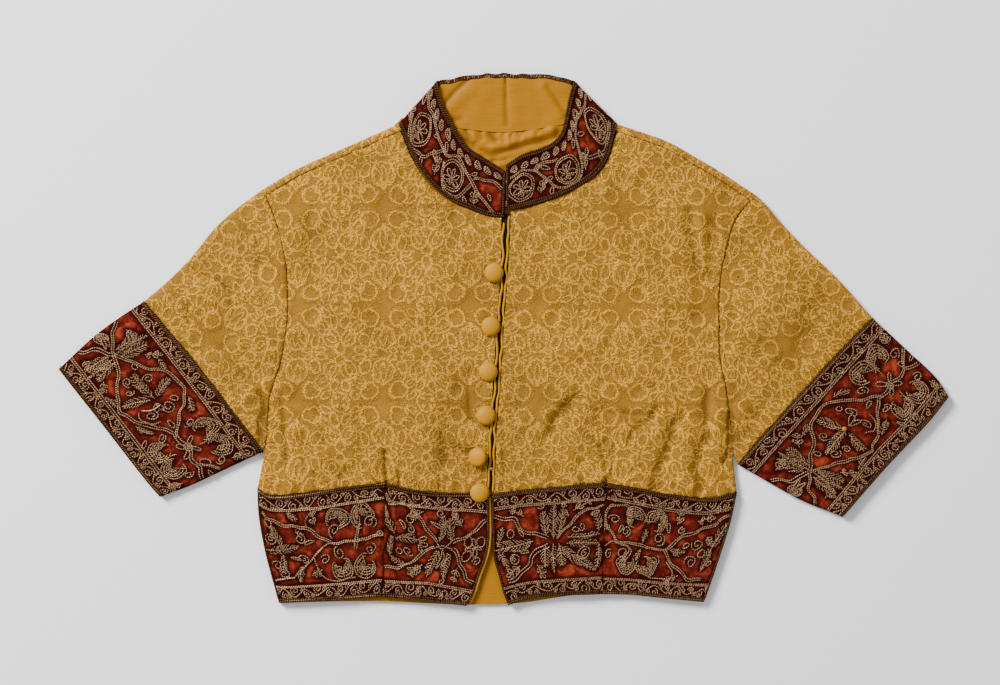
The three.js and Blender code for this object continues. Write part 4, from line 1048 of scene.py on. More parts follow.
# Each chart names a shape and then its places: the points of a stem, or the numbers of the others.
CHARTS = {
    # From the front edge to the dart: stems cross in a burst of blades.
    ("right", "centre"): (
        (twin, ((50, 56), (61, 67), (73, 83), (86, 88), (102, 86)), ((36, 57), (17, 68), (2, 81)),
         ((52, 51), (58, 48), (68, 39), (86, 29), (102, 26)), ((36, 52), (25, 41), (14, 27), (4, 21))),
        (feather, (47, 57, 92, 24, 4.6), (36, 57, 84, 24, 4.6)),
        (curl, (48, 84, 3.4, 200), (33, 84, 3.4, -20)),
        (feather, (47, 50, -66, 28, 4.4), (39, 50, -92, 27, 4.4)), (curl, (40, 21, 3.2, 100)),
        (petal, (43, 52, -80, 22)),
        (stem, ((50, 56), (43, 53), (36, 57)), ((52, 51), (43, 55), (36, 52))),
        (feather, (97, 38, 88, 20, 3.4), (95, 60, 64, 25, 4.4), (92, 56, 178, 22, 4.2)),
        (petal, (70, 57, 150, 9, 2.4), (70, 55, 190, 10, 2.4), (70, 53, 230, 9, 2.4)),
        (ring, (79, 76, 4.2)), (curl, (77, 66, 4.6, 60), (80, 46, 4.6, 200)),
        (ring, (62, 90, 2.8), (88, 44, 3.0), (19, 59, 4.6), (7, 60, 4.2), (19, 46, 4.4)),
        (curl, (8, 40, 4.6, 0)),
        (petal, (13, 53, 80, 9), (13, 53, 170, 8), (13, 53, 260, 9), (13, 53, 0, 10)),
        (spray, (64, 83, -12, 13, 3), (62, 34, -42, 13, 3), (27, 73, 60, 9), (24, 34, -75, 10)),
        (feather, (80, 31, 20, 18, 2.8)), (petal, (90, 74, 240, 9, 2.4), (58, 74, 200, 8)),
    ),
    # From the front edge to the dart: a cross of stems, with a tall burst between.
    ("left", "centre"): (
        (twin, ((52, 55), (34, 62), (21, 75), (3, 83)), ((60, 56), (72, 67), (83, 77), (102, 83)),
         ((52, 50), (38, 42), (31, 30), (8, 21))),
        (feather, (62, 47, -35, 42, 5.2), (50, 57, 95, 25, 4.6), (62, 57, 85, 25, 4.6),
         (56, 55, 90, 33, 3.2)), (curl, (46, 86, 3.2, 200), (65, 86, 3.2, -20)),
        (feather, (50, 50, -98, 23, 4.6), (62, 50, -84, 23, 4.6), (56, 51, -90, 29, 3.2),
         (40, 52, 179, 38, 6.0), (5, 55, 74, 19, 3.2), (5, 49, -70, 21, 3.2)),
        (ring, (18, 63, 3.6), (20, 40, 4.2)), (curl, (20, 40, 2.4, 90)), (petal, (28, 60, 100, 9)),
        (feather, (70, 55, 3, 31, 3.2), (70, 49, -3, 31, 3.2)), (curl, (84, 65, 4.4, 200)),
        (ring, (85, 40, 5.0)), (curl, (85, 40, 3.0, 40)),
        (feather, (100, 60, 108, 19, 3.0), (100, 47, -100, 21, 3.0)),
        (spray, (76, 80, 30, 12), (30, 78, 150, 11), (38, 32, -60, 11)), (petal, (72, 74, 120, 8)),
        (spray, (24, 32, 200, 10)), (petal, (92, 74, 20, 8), (34, 44, 170, 9)), (ring, (76, 62, 2.6)),
    ),
    # From the dart to the side: four shells by a short stem, and leaves beyond.
    ("right", "side"): (
        (near_twin, ((0, 56), (20, 55), (38, 53), (51, 55))),
        (twin, ((29, 45), (28, 56), (27, 69)), ((51, 55), (64, 61), (76, 70), (92, 74), (117, 84))),
        (stem, ((74, 70), (74, 79), (67, 85), (54, 87))),
        (twin, ((51, 55), (62, 48), (76, 38), (90, 27), (116, 20))),
        (stem, ((70, 42), (69, 31), (61, 21), (46, 18), (30, 21))),
        (curl, (83, 61, 6.2, 100, 1.5), (83, 42, 5.4, -80, 1.5, -1), (48, 65, 6.2, -90, 1.5),
         (46, 45, 6.2, 90, 1.5, -1), (60, 39, 4.8, 40, 1.4), (14, 68, 6.0, -120, 1.5, -1),
         (13, 45, 5.6, 120, 1.5), (4, 57, 3.4, 0, 1.6)),
        (shell, (45, 76, 120, 10.6), (22, 76, 60, 10.8), (42, 29, -120, 10.6), (19, 29, -60, 10.8)),
        (feather, (100, 53, 70, 23, 4.4), (101, 47, -76, 19, 4.0), (117, 50, 176, 34, 3.8)),
        (ring, (111, 60, 4.8), (111, 60, 2.0), (110, 76, 4.2)),
        (curl, (110, 37, 4.4, 0), (104, 28, 4.6, 90)),
        (feather, (94, 86, -150, 15, 3.0), (84, 34, -74, 16, 3.2), (88, 68, -160, 10, 2.4)),
        (spray, (66, 72, 75, 10), (62, 30, -20, 10)), (petal, (68, 55, 0, 9, 2.4), (92, 44, 200, 8)),
    ),
    # From the dart to the side: scrolls and palmettes, then crossed stems.
    ("left", "side"): (
        (twin, ((1, 60), (1, 74), (7, 84), (20, 84), (27, 76))), (curl, (9, 71, 5.4, 180, 1.4, -1)),
        (near_twin, ((3, 66), (5, 58), (14, 51), (26, 50), (40, 48), (61, 47))),
        (curl, (22, 62, 5.4, -90, 1.5), (19, 41, 6.6, 100, 1.5, -1), (5, 37, 4.2, 60, 1.3)),
        (stem, ((1, 45), (6, 49), (14, 50), (25, 46), (28, 38), (22, 32))), (petal, (24, 78, -100, 9)),
        (near_twin, ((61, 47), (70, 57), (82, 67), (98, 75), (117, 81)),
         ((61, 47), (70, 38), (78, 31), (90, 23), (108, 20))),
        (shell, (29, 76, 120, 9.8), (50, 75, 60, 10.2), (24, 29, -120, 10.0), (45, 29, -60, 9.8)),
        (curl, (55, 59, 6.4, 250, 1.6), (53, 37, 5.8, 80, 1.6, -1)),
        (stem, ((66, 36), (73, 30), (74, 23), (66, 20), (50, 19))),
        (feather, (38, 51, 82, 13, 3.2), (36, 46, -95, 11, 3.0), (66, 48, 0, 18, 3.2)),
        (curl, (92, 57, 6.2, 150, 1.5), (90, 38, 6.6, 200, 1.5, -1), (74, 68, 4.2, 90, 1.4)),
        (feather, (104, 30, 80, 22, 4.0), (108, 52, 68, 25, 4.0)), (ring, (100, 47, 3.2)),
        (spray, (70, 76, 80, 10), (86, 80, 12, 12), (100, 66, -60, 9), (82, 22, 190, 10)),
        (petal, (80, 52, 60, 8), (64, 66, 100, 8), (14, 60, 60, 7, 2.0)), (ring, (110, 38, 3.0)),
    ),
}
# A cuff, from its fold to the underarm: a burst, leaves in a pointed oval, a flower in shells.
CUFF_CHART = (
    (twin, ((28, 53), (14, 46), (2, 31)), ((28, 53), (12, 64), (2, 78))),
    (feather, (26, 57, 98, 26, 4.8), (34, 56, 84, 26, 4.8), (30, 56, 91, 33, 3.0),
     (26, 49, -98, 26, 4.8), (34, 49, -84, 26, 4.8), (30, 50, -91, 33, 3.0)),
    (twin, ((28, 53), (54, 39), (73, 24), (92, 23), (104, 31), (117, 45), (132, 55)),
     ((28, 53), (52, 66), (67, 78), (86, 81), (106, 70), (127, 54))), (shell, (7, 54, 178, 6.5)),
    (petal, (18, 51, 172, 9), (18, 56, 190, 9)),
    (spray, (13, 30, -10, 9), (12, 78, 12, 9), (42, 74, 50, 11), (44, 32, -50, 11)),
    (feather, (84, 51, 176, 31, 5.0), (84, 49, -110, 24, 4.4), (84, 54, 112, 25, 4.4)),
    (curl, (57, 60, 4.4, 0, 1.5), (66, 42, 4.6, 100, 1.5), (68, 65, 4.4, 240, 1.5)),
    (ring, (50, 47, 2.6)), (curl, (100, 62, 5.8, 250, 1.5), (100, 44, 5.8, 110, 1.5, -1)),
    (petal, (90, 52, 20, 10, 2.6), (90, 52, -20, 10, 2.6)),
    (stem, ((90, 68), (98, 71), (108, 66), (110, 58))), (petal, (112, 52, 0, 9, 2.4)),
    (ring, (96, 34, 2.8)),
    (feather, (56, 84, -8, 16, 2.8), (56, 24, 8, 12, 2.8), (100, 79, -20, 18, 3.2),
     (102, 24, 20, 16, 3.2)), (ring, (146, 53, 3.4), (146, 53, 1.4)),
    (twin, ((127, 54), (136, 56), (146, 53), (156, 56), (163, 54), (180, 60)),
     ((163, 54), (172, 48), (180, 41))),
    (petal, (146, 53, 45, 11, 2.6), (146, 53, 135, 11, 2.6), (146, 53, 225, 11, 2.6),
     (146, 53, 315, 11, 2.6)),
    (shell, (136, 28, 250, 10.6), (158, 28, 290, 10.8), (135, 76, 112, 10.8), (158, 76, 68, 10.8)),
    (curl, (124, 66, 4.6, 280, 1.5), (124, 38, 4.6, 90, 1.5, -1), (170, 68, 5.0, 250, 1.4),
     (171, 36, 4.8, 90, 1.4, -1)),
    (stem, ((146, 64), (145, 74), (146, 84)), ((147, 42), (147, 32), (146, 22))),
    (ring, (167, 48, 3.6)), (spray, (174, 78, 80, 7), (174, 27, -80, 7)),
    (petal, (176, 52, 0, 6, 2.0), (120, 80, 60, 8)),
)


HAND_SLIP = 0.35  # of the wandering, for a whole stroke
SHORTEST_STROKE = 0.3


def jitter(strokes, amount, seed):
    """Hand work: each stroke is pushed about a little by soft waves and by a drawn slip."""
    draw = np.random.default_rng(seed)
    moved = []
    for stroke in strokes:
        slip = draw.normal(0, amount * HAND_SLIP, 2)
        sway = np.stack([waviness(stroke, amount, 30, 12, seed + axis, 8) for axis in (0, 1)], -1)
        moved.append(stroke + slip + sway)
    return moved


def within(strokes, width, depth, margin=0.5):
    """Keeps every stroke inside its panel."""
    return [np.clip(stroke, margin, (width - margin, depth - margin)) for stroke in strokes]


def reach_of(stroke):
    """The length of a stroke."""
    return np.linalg.norm(np.diff(stroke, axis=0), axis=1).sum()


def cords(strokes, face, radius, outwards=1, sides=5, step=1.35, seed=5):
    """Couched cords as one mesh of thin tubes.

    Each stroke is taken at even steps and carried on to the face. Round each point stand the
    sides of a ring: centre plus radius times (cosine of the sideways vector plus sine of up).
    """
    draw = np.random.default_rng(seed)
    strokes = [stroke for stroke in strokes if reach_of(stroke) > SHORTEST_STROKE]
    runs = [along(stroke, step) for stroke in strokes]
    reaches = [reach_of(stroke) for stroke in strokes]
    spots = np.concatenate(runs)
    counts = np.array([len(run) for run in runs])
    last = np.cumsum(counts) - 1
    first = last - counts + 1
    index = np.arange(len(spots))
    before = np.maximum(index - 1, np.repeat(first, counts))
    after = np.minimum(index + 1, np.repeat(last, counts))
    nudge = 0.4
    base = face(spots)
    run_x = face(spots + (nudge, 0)) - face(spots - (nudge, 0))
    run_y = face(spots + (0, nudge)) - face(spots - (0, nudge))
    up = np.cross(run_x, run_y)
    up = up / np.linalg.norm(up, axis=1, keepdims=True)
    up = up * np.sign(up[:, 2].sum()) * outwards
    tangent = base[after] - base[before]
    tangent = tangent / np.maximum(np.linalg.norm(tangent, axis=1, keepdims=True), 1e-9)
    aside = np.cross(up, tangent)
    aside = aside / np.maximum(np.linalg.norm(aside, axis=1, keepdims=True), 1e-9)
    lift = np.repeat(draw.uniform(0.15, 0.75, len(runs)), counts) * radius
    middle = base + up * lift[:, None]
    thick = radius * np.repeat(np.where(np.array(reaches) < FINE_REACH, FINE_SHARE, 1.0), counts)
    thick[first] *= 0.45
    thick[last] *= 0.45
    angle = 2 * np.pi * np.arange(sides) / sides
    points = (middle[:, None] + thick[:, None, None] * (
        np.cos(angle)[None, :, None] * aside[:, None] + np.sin(angle)[None, :, None] * up[:, None]))
    points[..., 2] = np.maximum(points[..., 2], 0)  # cords under the cloth lie flat on the table
    joins = np.setdiff1d(index, last)
    side = np.arange(sides)
    here = joins[:, None] * sides + side
    here_next = joins[:, None] * sides + (side + 1) % sides
    quads = np.stack([here, here_next, here_next + sides, here + sides], -1).reshape(-1, 4)
    caps = np.concatenate([first[:, None] * sides + side[::-1], last[:, None] * sides + side])
    reach = np.linalg.norm(base - base[before], axis=1).cumsum()
    at = np.broadcast_to(reach[joins][:, None], here.shape)
    to = np.broadcast_to(reach[joins + 1][:, None], here.shape)
    low = np.broadcast_to(side / sides / METRES, here.shape)
    high = low + 1 / sides / METRES
    chart = np.stack([np.stack([at, low], -1), np.stack([at, high], -1),
                      np.stack([to, high], -1), np.stack([to, low], -1)], 2).reshape(-1, 4, 2)
    return mesh_of(points.reshape(-1, 3), quads, chart, caps)


# Tarnished gilt thread round a core, two strands twisted together. The eye sees a beaded line, painted
# pale tan on the crests and dark in the grooves, as painted highlight and painted shade; the twist is
# drawn at 2.2 mm, so that it shows.
CORD_TWIST = 2.2


def thread(name, dark, light, metal, rough, gloss=0.12):
    """A twisted thread's material: the twist runs round and along its chart, dark to light, painted shade
    in its grooves and painted highlight on its crests.
    """
    made, tree, surface = material(name, gloss)
    place = node(tree, "SeparateXYZ", {0: charted(tree)}).outputs
    turns = maths(tree, "MULTIPLY", place[0], 1 / (CORD_TWIST * METRES))
    strand = maths(tree, "PINGPONG", maths(tree, "ADD", turns, place[1]), 0.5)
    worn = noise(tree, where(tree), 420.0).outputs["Fac"]
    tone = remap(tree, maths(tree, "MULTIPLY_ADD", strand, 1.3, worn), 0.55, 1.08)
    fill(tree, surface, {
        "Base Color": tinted(tree, tone, dark, light), "Metallic": metal, "Roughness": rough,
        "Normal": relief(tree, strand, 0.0006, 0.8)})
    return made


gilt = thread("tarnished_gilt_thread", "#1A0D07", "#A98560", 0.3, 0.5)
dark_gimp = thread("dark_gimp_cord", "#0C0402", "#54371F", 0.0, 0.8, 0.03)


def embroider(label, face, size, strokes, edges, velvet_mesh=None, spots=None, outwards=1, sides=5,
              step=1.35, seed=5):
    """Lays a chart's cords and dark edge cords on a face, and marks the pile pressed under them, with
    painted shade round them.
    """
    laid_cords = within(strokes, *size)
    laid_edges = within(edges, *size, margin=0.3)
    if velvet_mesh is not None:
        rims = [np.array([(0, 0), (size[0], 0)]), np.array([(0, size[1]), size]),
                np.array([(0, 0), (0, size[1])]), np.array([(size[0], 0), size])]
        press_and_shade(velvet_mesh, spots, laid_cords + laid_edges + rims)
    work = []
    for kind, laid_strokes, radius, pace, finish in (
            ("embroidery", laid_cords, CORD_RADIUS, step, gilt),
            ("edging", laid_edges, EDGE_RADIUS, EDGE_STEP, dark_gimp)):
        mesh = cords(laid_strokes, face, radius, outwards, sides, pace, seed)
        work.append(piece(f"{kind}_{label}", mesh, finish, "gilt_cord"))
        seed += 1
    return work


for seed, (side, part) in enumerate(CHARTS, 40):
    size = (BAND_WIDTH[part], BAND_DEPTH)
    low, high = (hem_centre, waist_centre) if part == "centre" else (hem_side, waist_side)
    near, far = (band_front, dart) if part == "centre" else (dart, band_side)
    shape = cut(low[side], high[side], backwards(near[side]), backwards(far[side]))
    dips = [high[side], dart[side]]
    ends = (END_LINE_IN,) if part == "centre" else (size[0] - END_LINE_IN,)
    face_of = on_band(shape, size, dips, seed)
    u, v = np.meshgrid(stops(62, size[0]), stops(58, size[1]))
    spots = np.stack([u * size[0], v * size[1]], -1)
    face = face_of(spots)
    name = f"band_{side}_{part}"
    mesh = sheet_mesh(face, BAND_WALL, face[..., :2])
    strokes = jitter(drawn(*size, CHARTS[side, part]), BAND_WANDER, seed)
    work = embroider(name, face_of, size, strokes, edge_lines(*size, ends), mesh, spots, seed=seed)
    panel = piece(f"velvet_{name}", mesh, velvet, "velvet", name)
    laid(face)

back_band_cut = cut(back_hem, back_waist, backwards(band_side["right"]), backwards(band_side["left"]))
BACK_BAND_WIDTH = 440.0
u, v = np.meshgrid(stops(64, BACK_BAND_WIDTH), stops(22, BAND_DEPTH))
plan = back_band_cut(u, v)
spots = np.stack([u * BACK_BAND_WIDTH, v * BAND_DEPTH], -1)
under_face = lifted(plan, UNDERSIDE_LIFT)
band_back_mesh = mesh_of(*wall(lifted(plan, BAND_WALL), under_face, plan))


def under_band(spot):
    """The outer face of the back band, which lies on the table."""
    plan = back_band_cut(spot[..., 0] / BACK_BAND_WIDTH, spot[..., 1] / BAND_DEPTH)
    return lifted(plan, UNDERSIDE_LIFT)


strokes = []
start = 0.0
squeeze = BACK_BAND_WIDTH / (2 * sum(BAND_WIDTH.values()))
for side, part in (("right", "side"), ("right", "centre"), ("left", "centre"), ("left", "side")):
    for stroke in drawn(BAND_WIDTH[part], BAND_DEPTH, CHARTS[side, part]):
        x = BAND_WIDTH[part] - stroke[:, 0] if side == "right" else stroke[:, 0]
        strokes.append(np.stack([(start + x) * squeeze, stroke[:, 1]], -1))
    start += BAND_WIDTH[part]
size = (BACK_BAND_WIDTH, BAND_DEPTH)
work = embroider("band_back", under_band, size, jitter(strokes, BAND_WANDER, 61), edge_lines(*size),
                 outwards=-1, sides=4, step=3.0, seed=61)
band_back_mesh.attributes.new("pressed_and_shaded", "FLOAT", "POINT")
band_back = piece("velvet_band_back", band_back_mesh, velvet, "velvet", "band_back")
laid(under_face)


# Cuffs
# Stiff velvet tubes a hand's breadth deep, turned up on the sleeve ends and lying flat. The cord
# work runs round them, with the burst of leaves at the fold on one and under the arm on the other.
CUFF_SEED = {"right": 71, "left": 79}
CUFF_LENGTH = 182.0
CUFF_DEPTH = 103.0
cuff_fold = seams(
    right=((-341.5, 36.5), (-366, 20.5), (-389, 3.5), (-423, -28)),
    left=((351, 20.5), (386, -12), (412, -37), (423, -54.5)),
)
cuff_hem = seams(
    right=((-423, -28), (-376.5, -87), (-340, -134), (-326.5, -149.5)),
    left=((423, -54.5), (405, -77.5), (366, -119), (322.5, -168.5)),
)
cuff_under = seams(
    right=((-228.2, -106.5), (-263.5, -123), (-298, -139), (-326.5, -149.5)),
    left=((222.5, -118.5), (246.5, -132.5), (282.5, -152.5), (322.5, -168.5)),
)


def cuff_crown(side):
    """The height of a cuff's upper face, as a function of places on the table."""
    def crown_of(plan):
        rise = waviness(plan, 0.28, 80, 26, CUFF_SEED[side])
        return BAND_LEVEL + rise + sewn(plan, [cuff_seam[side]], depth=0.7, pucker=0.1)
    return crown_of


def on_cuff(side, shape, is_upper):
    """One layer of a cuff's face, as a function of places in its pattern."""
    def face(spot):
        along_cuff = spot[..., 0] / CUFF_LENGTH
        u = 1 - along_cuff if side == "left" else along_cuff
        v = spot[..., 1] / CUFF_DEPTH
        plan = shape(u, v)
        length = np.linalg.norm(cuff_fold[side](v) - cuff_under[side](v), axis=-1)
        away = np.clip(np.minimum(u, 1 - u), 0, 1) * length
        outer = tube_faces(away, cuff_crown(side)(plan), UNDERSIDE_LIFT, BAND_WALL, is_upper)[0]
        return lifted(plan, outer)
    return face


for seed, side in enumerate(SIDES, 81):
    shape = cut(cuff_seam[side], cuff_hem[side], cuff_fold[side], cuff_under[side])
    rows = stops(46, CUFF_DEPTH)
    outer, inner, around = flat_tube(
        shape, cuff_fold[side], cuff_under[side], rows, 64, cuff_crown(side), UNDERSIDE_LIFT, BAND_WALL)
    closed = np.concatenate([outer, outer[:, :1]], 1)
    mesh = mesh_of(*wall(outer, inner, closed[..., :2], ring=True))
    half = outer.shape[1] // 2 + 1
    turn = around[:, half - 1:half]
    share = np.concatenate([
        around[:, :half] / turn, (around[:, -1:] - around[:, half:-1]) / (around[:, -1:] - turn)], 1)
    if side == "left":
        share = 1 - share
    size = (CUFF_LENGTH, CUFF_DEPTH)
    spots = np.stack(np.broadcast_arrays(share, rows[:, None]), -1) * size
    strokes = jitter(drawn(*size, CUFF_CHART), 0.8, seed)
    work = embroider(f"cuff_{side}", on_cuff(side, shape, True), size, strokes, edge_lines(*size),
                     mesh, spots, seed=seed)
    work += embroider(f"cuff_{side}_under", on_cuff(side, shape, False), size, strokes,
                      edge_lines(*size), outwards=-1, sides=4, step=3.0, seed=seed)
    cuff = piece(f"velvet_cuff_{side}", mesh, velvet, "velvet", f"cuff_{side}")
    laid(closed)


# Lining
# Plain yellow silk inside the back and the collar. It shows in the neck, where it is gathered to
# the collar seam, and under the fronts' hem where they part.
LINING_WALL = 1.0
LINING_FLOOR = BAND_WALL + SEAM_GAP
GATHERS = 7
GATHER_HEIGHT = 0.9
GATHER_REACH = 26.0
NECK_FOLDS = 24  # half waves of the small folds at the collar seam
FOLDS_HEIGHT = 1.1
FOLDS_REACH = 7.0
NECK_STARTS = 148.0  # the lining stands up only in the neck, from here and this far to each side
NECK_HALF = 58.0
back_collar_top = seam((-63, 246), (-52, 246), (-36.5, 249.5), (2, 251.5), (42.5, 250.5), (67, 246))
collar_top = seams(
    right=((1.5, 160), (-4.5, 164), (-20.5, 174.5), (-34.5, 184), (-44, 198), (-52.5, 214),
           (-59.5, 229.5), (-63, 246)),
    left=((5, 166), (17.5, 175.5), (33, 181), (47, 187.5), (55.5, 198), (59.5, 216), (63, 233),
          (67, 246)),
)
LINING_CREASES = (
    (2.2, -1.5, (-50, 192), (-36, 190), (-28, 186)), (3.6, 1.6, (-52, 184), (-34, 180), (-14, 171)),
    (1.9, -1.4, (-40, 183), (-26, 181), (-12, 178)), (1.8, -1.5, (-14, 196), (-8, 189), (2, 187)),
    (2.0, -1.5, (-22, 174), (-4, 177), (14, 183), (34, 188), (50, 193)),
    (4.0, 1.9, (-10, 183), (16, 190), (48, 200)), (3.4, 1.5, (-24, 162), (0, 167), (24, 175)),
    (1.8, -1.2, (-10, 170), (10, 172), (28, 178)), (1.6, -1.3, (-36, 199), (-33, 192)),
    (1.6, -1.3, (-22, 198), (-20, 191)), (1.6, -1.2, (8, 197), (7, 190)),
    (1.6, -1.2, (20, 199), (16, 192)), (1.6, -1.1, (36, 201), (31, 195)),
    (2.4, 1.0, (-28, 197), (-27, 190)),
)
COLLAR_CREASES = (
    (1.5, -0.9, (3, 204), (2, 226), (2, 250)), (7.0, 0.4, (12, 208), (11, 244)),
    (2.6, -0.7, (-58, 222), (-46, 236), (-34, 247)), (6.0, 0.6, (-54, 216), (-30, 238)),
    (2.6, -0.8, (42, 240), (52, 224), (61, 212)), (5.0, 0.6, (38, 240), (54, 214)),
    (2.4, -0.5, (-56, 208), (-40, 210)), (9.0, 0.4, (-24, 216), (-18, 244)),
)

# Spun silk lining, plain weave with a faint slub across. The eye sees an even soft yellow with
# thin level streaks.
# Share of its brightness that the lining keeps in its deepest folds, under painted shade.
LINING_DARKEST = 0.5
LINING_FOLD_STARTS = 0.2  # this far under its level the lining begins to get painted shade
LINING_FOLD_FULL = 2.0
lining_silk, tree, surface = material("spun_silk_lining", 0.12)
slubs = node(tree, "Mapping", {"Vector": where(tree), "Scale": (90.0, 1300.0, 90.0)}).outputs[0]
weave = noise(tree, where(tree), 1300.0).outputs["Fac"]
woven = maths(tree, "MULTIPLY_ADD", weave, 0.4, noise(tree, slubs, 1.0).outputs["Fac"])
colour = tinted(tree, remap(tree, woven, 0.2, 1.2), "#875903", "#A66C03")
# The lining's colour is darkened in its folds and gathers: painted shade.
fill(tree, surface, {
    "Base Color": painted_fold_shade(tree, colour, LINING_DARKEST), "Roughness": 0.55,
    "Normal": relief(tree, woven, 0.0002, 0.6)})

lining_neck = stretch(back_neck, 0.14, 0.86)
lining_hem = stretch(back_hem, 0.06, 0.94)


def lining_side(end, side):
    """A slack line from hem to neck, bowed out half way to the side seam (a quadratic curve)."""
    start, stop = lining_hem(end), lining_neck(end)
    middle = side_seam[side](0.5) * (0.92, 1.0)
    return lambda s: between(between(start, middle, s), between(middle, stop, s), s)


lining_cut = cut(lining_hem, lining_neck, lining_side(0.0, "right"), lining_side(1.0, "left"))
rows = np.unique(np.concatenate([np.linspace(0, 0.8, 10), np.linspace(0.8, 1, 62)]))
u, v = np.meshgrid(np.linspace(0, 1, 97), rows)
plan = lining_cut(u, v)
below = np.maximum(0, plan[-1:, :, 1] - plan[..., 1])
gather = GATHER_HEIGHT * np.exp(-(below / GATHER_REACH) ** 2) * np.sin(np.pi * GATHERS * u) ** 2
folds = np.sin(np.pi * NECK_FOLDS * u + waviness(plan, 0.8, 50, 20, 29)) * np.exp(-below / FOLDS_REACH)
gather = (gather + FOLDS_HEIGHT * folds) * np.where(v == 1, 0.3, 1.0) - 1.1 * np.exp(-below / 1.3)
soft = creased(plan, LINING_CREASES) + waviness(plan, 0.22, 40, 12, 31)
in_neck = np.clip((plan[..., 1] - NECK_STARTS) / 14, 0, 1)
in_neck = in_neck * np.clip((NECK_HALF - np.abs(plan[..., 0])) / 10, 0, 1)
level = LINING_FLOOR + LINING_WALL + 0.7 * in_neck
face = lifted(plan, level + np.maximum((gather + soft) * in_neck, -1.0))
mesh = sheet_mesh(face, LINING_WALL, plan)
# Painted shade in the lining's folds and gathers at the neck.
numbered(mesh, "fold_shade", (-LINING_FOLD_STARTS - gather - soft) * in_neck / LINING_FOLD_FULL)
lining = piece("lining_back", mesh, lining_silk, "lining", "back_lining")
laid(face)


# Collar
# A stand collar of the same velvet, in two halves joined at the centre back. It folds over at the
# neck points, so its front half faces up and its back half lies face down, lining up.
COLLAR_CROWN = 1.4
COLLAR_LENGTH = 127.0  # along its middle, for its chart
COLLAR_DEPTH = 46.0
COLLAR_PULL = {"right": 0.5, "left": -2.6}  # drawn together where the two ends meet
COLLAR_PULL_REACH = 12.0
COLLAR_FOLD_STARTS = 0.1  # the collar's lining is stretched, and its painted shade starts at smaller dips
COLLAR_FOLD_FULL = 1.3


def collar_plan(side, share, v, is_front):
    """A place on the collar's front or back half, at a share of its length and v up."""
    if is_front:
        plan = between(neck[side](share), collar_top[side](share), v)
        pulled = COLLAR_PULL[side] * np.exp(-share * neck[side].reach / COLLAR_PULL_REACH)
        return plan + pulled[..., None] * (1, 0)
    back_share = share / 2 if side == "right" else 1 - share / 2
    return between(back_neck(back_share), back_collar_top(back_share), v)


def collar_height(side, share, v, is_front, inside=False):
    """Height of the collar's face or lining side, rounding over at the fold."""
    if is_front:
        length = neck[side].reach * (1 - v) + collar_top[side].reach * v
        away = (1 - share) * length
    else:
        length = (back_neck.reach * (1 - v) + back_collar_top.reach * v) / 2
        away = share * length
    plan = collar_plan(side, share, v, is_front)
    crown = BAND_LEVEL + COLLAR_CROWN * np.sin(np.pi * np.clip(v, 0, 1))
    crown = crown + waviness(plan, 0.2, 60, 20, 91)
    outer, inner, inward = tube_faces(
        np.maximum(away, 0), crown, UNDERSIDE_LIFT, BAND_WALL, is_front)
    if not inside:
        return lifted(plan, outer)
    shift = inward / length
    moved = collar_plan(side, share - shift if is_front else share + shift, v, is_front)
    return lifted(moved, inner)


def on_collar(side, is_front):
    """A collar half's face, as a function of places in its pattern."""
    def face(spot):
        return collar_height(side, spot[..., 0] / COLLAR_LENGTH, spot[..., 1] / COLLAR_DEPTH, is_front)
    return face


COLLAR_RINGS = {"right": (53, 105), "left": (14, 58, 110)}
COLLAR_STEMS = {
    "right": (((127, 34), (113, 32), (98, 33), (82, 29), (68, 26), (54, 33), (38, 24), (24, 14), (8, 3)),
              ((124, 14), (112, 5), (100, 4), (88, 9), (78, 20), (70, 27)),
              ((66, 22), (58, 5), (46, 4), (38, 12), (34, 20)), ((34, 24), (22, 28), (10, 30), (3, 26))),
    "left": (((3, 30), (14, 33), (28, 28), (38, 18), (47, 6), (60, 4), (72, 10), (77, 22), (86, 32),
              (100, 35), (114, 31), (126, 32)),
             ((28, 28), (36, 32), (46, 31), (54, 30)), ((77, 20), (84, 12), (94, 6), (108, 4), (122, 8))),
}


def collar_pattern(side):
    """The collar, from the centre front to the fold: a wavy stem round ringed flowers, and pods."""
    s = []
    for points in COLLAR_STEMS[side]:
        s += twin(*points, apart=1.6)
    for centre in COLLAR_RINGS[side]:
        s += ring(centre, 18, 12.0) + ring(centre, 18, 10.2)
        for angle in (90, 38, 142, -18, 198):
            s += petal(centre, 15.5, angle, 8.6)
        s += stem((centre - 5, 10.5), (centre, 12.5), (centre + 5, 10.5))
        s += petal(centre, 15, -90, 5.5, 1.6) + spray(centre + 17, 8, 70, 8)
        s += petal(centre + 14, 27, 40, 9) + petal(centre - 15, 26, 150, 8)
        s += petal(centre - 15, 9, 240, 7, 2.0) + petal(centre + 21, 16, 20, 8)
    if side == "right":
        s += spray(27, 4, 84, 8) + petal(12, 12, 60, 7, 1.9)
    for pod in np.arange(7, COLLAR_LENGTH - 3, 11.4):
        s += petal(pod - 3, 35.5, 18, 8.5, 3.4) + petal(pod - 2, 36, 18, 6.5, 1.5)
    return s


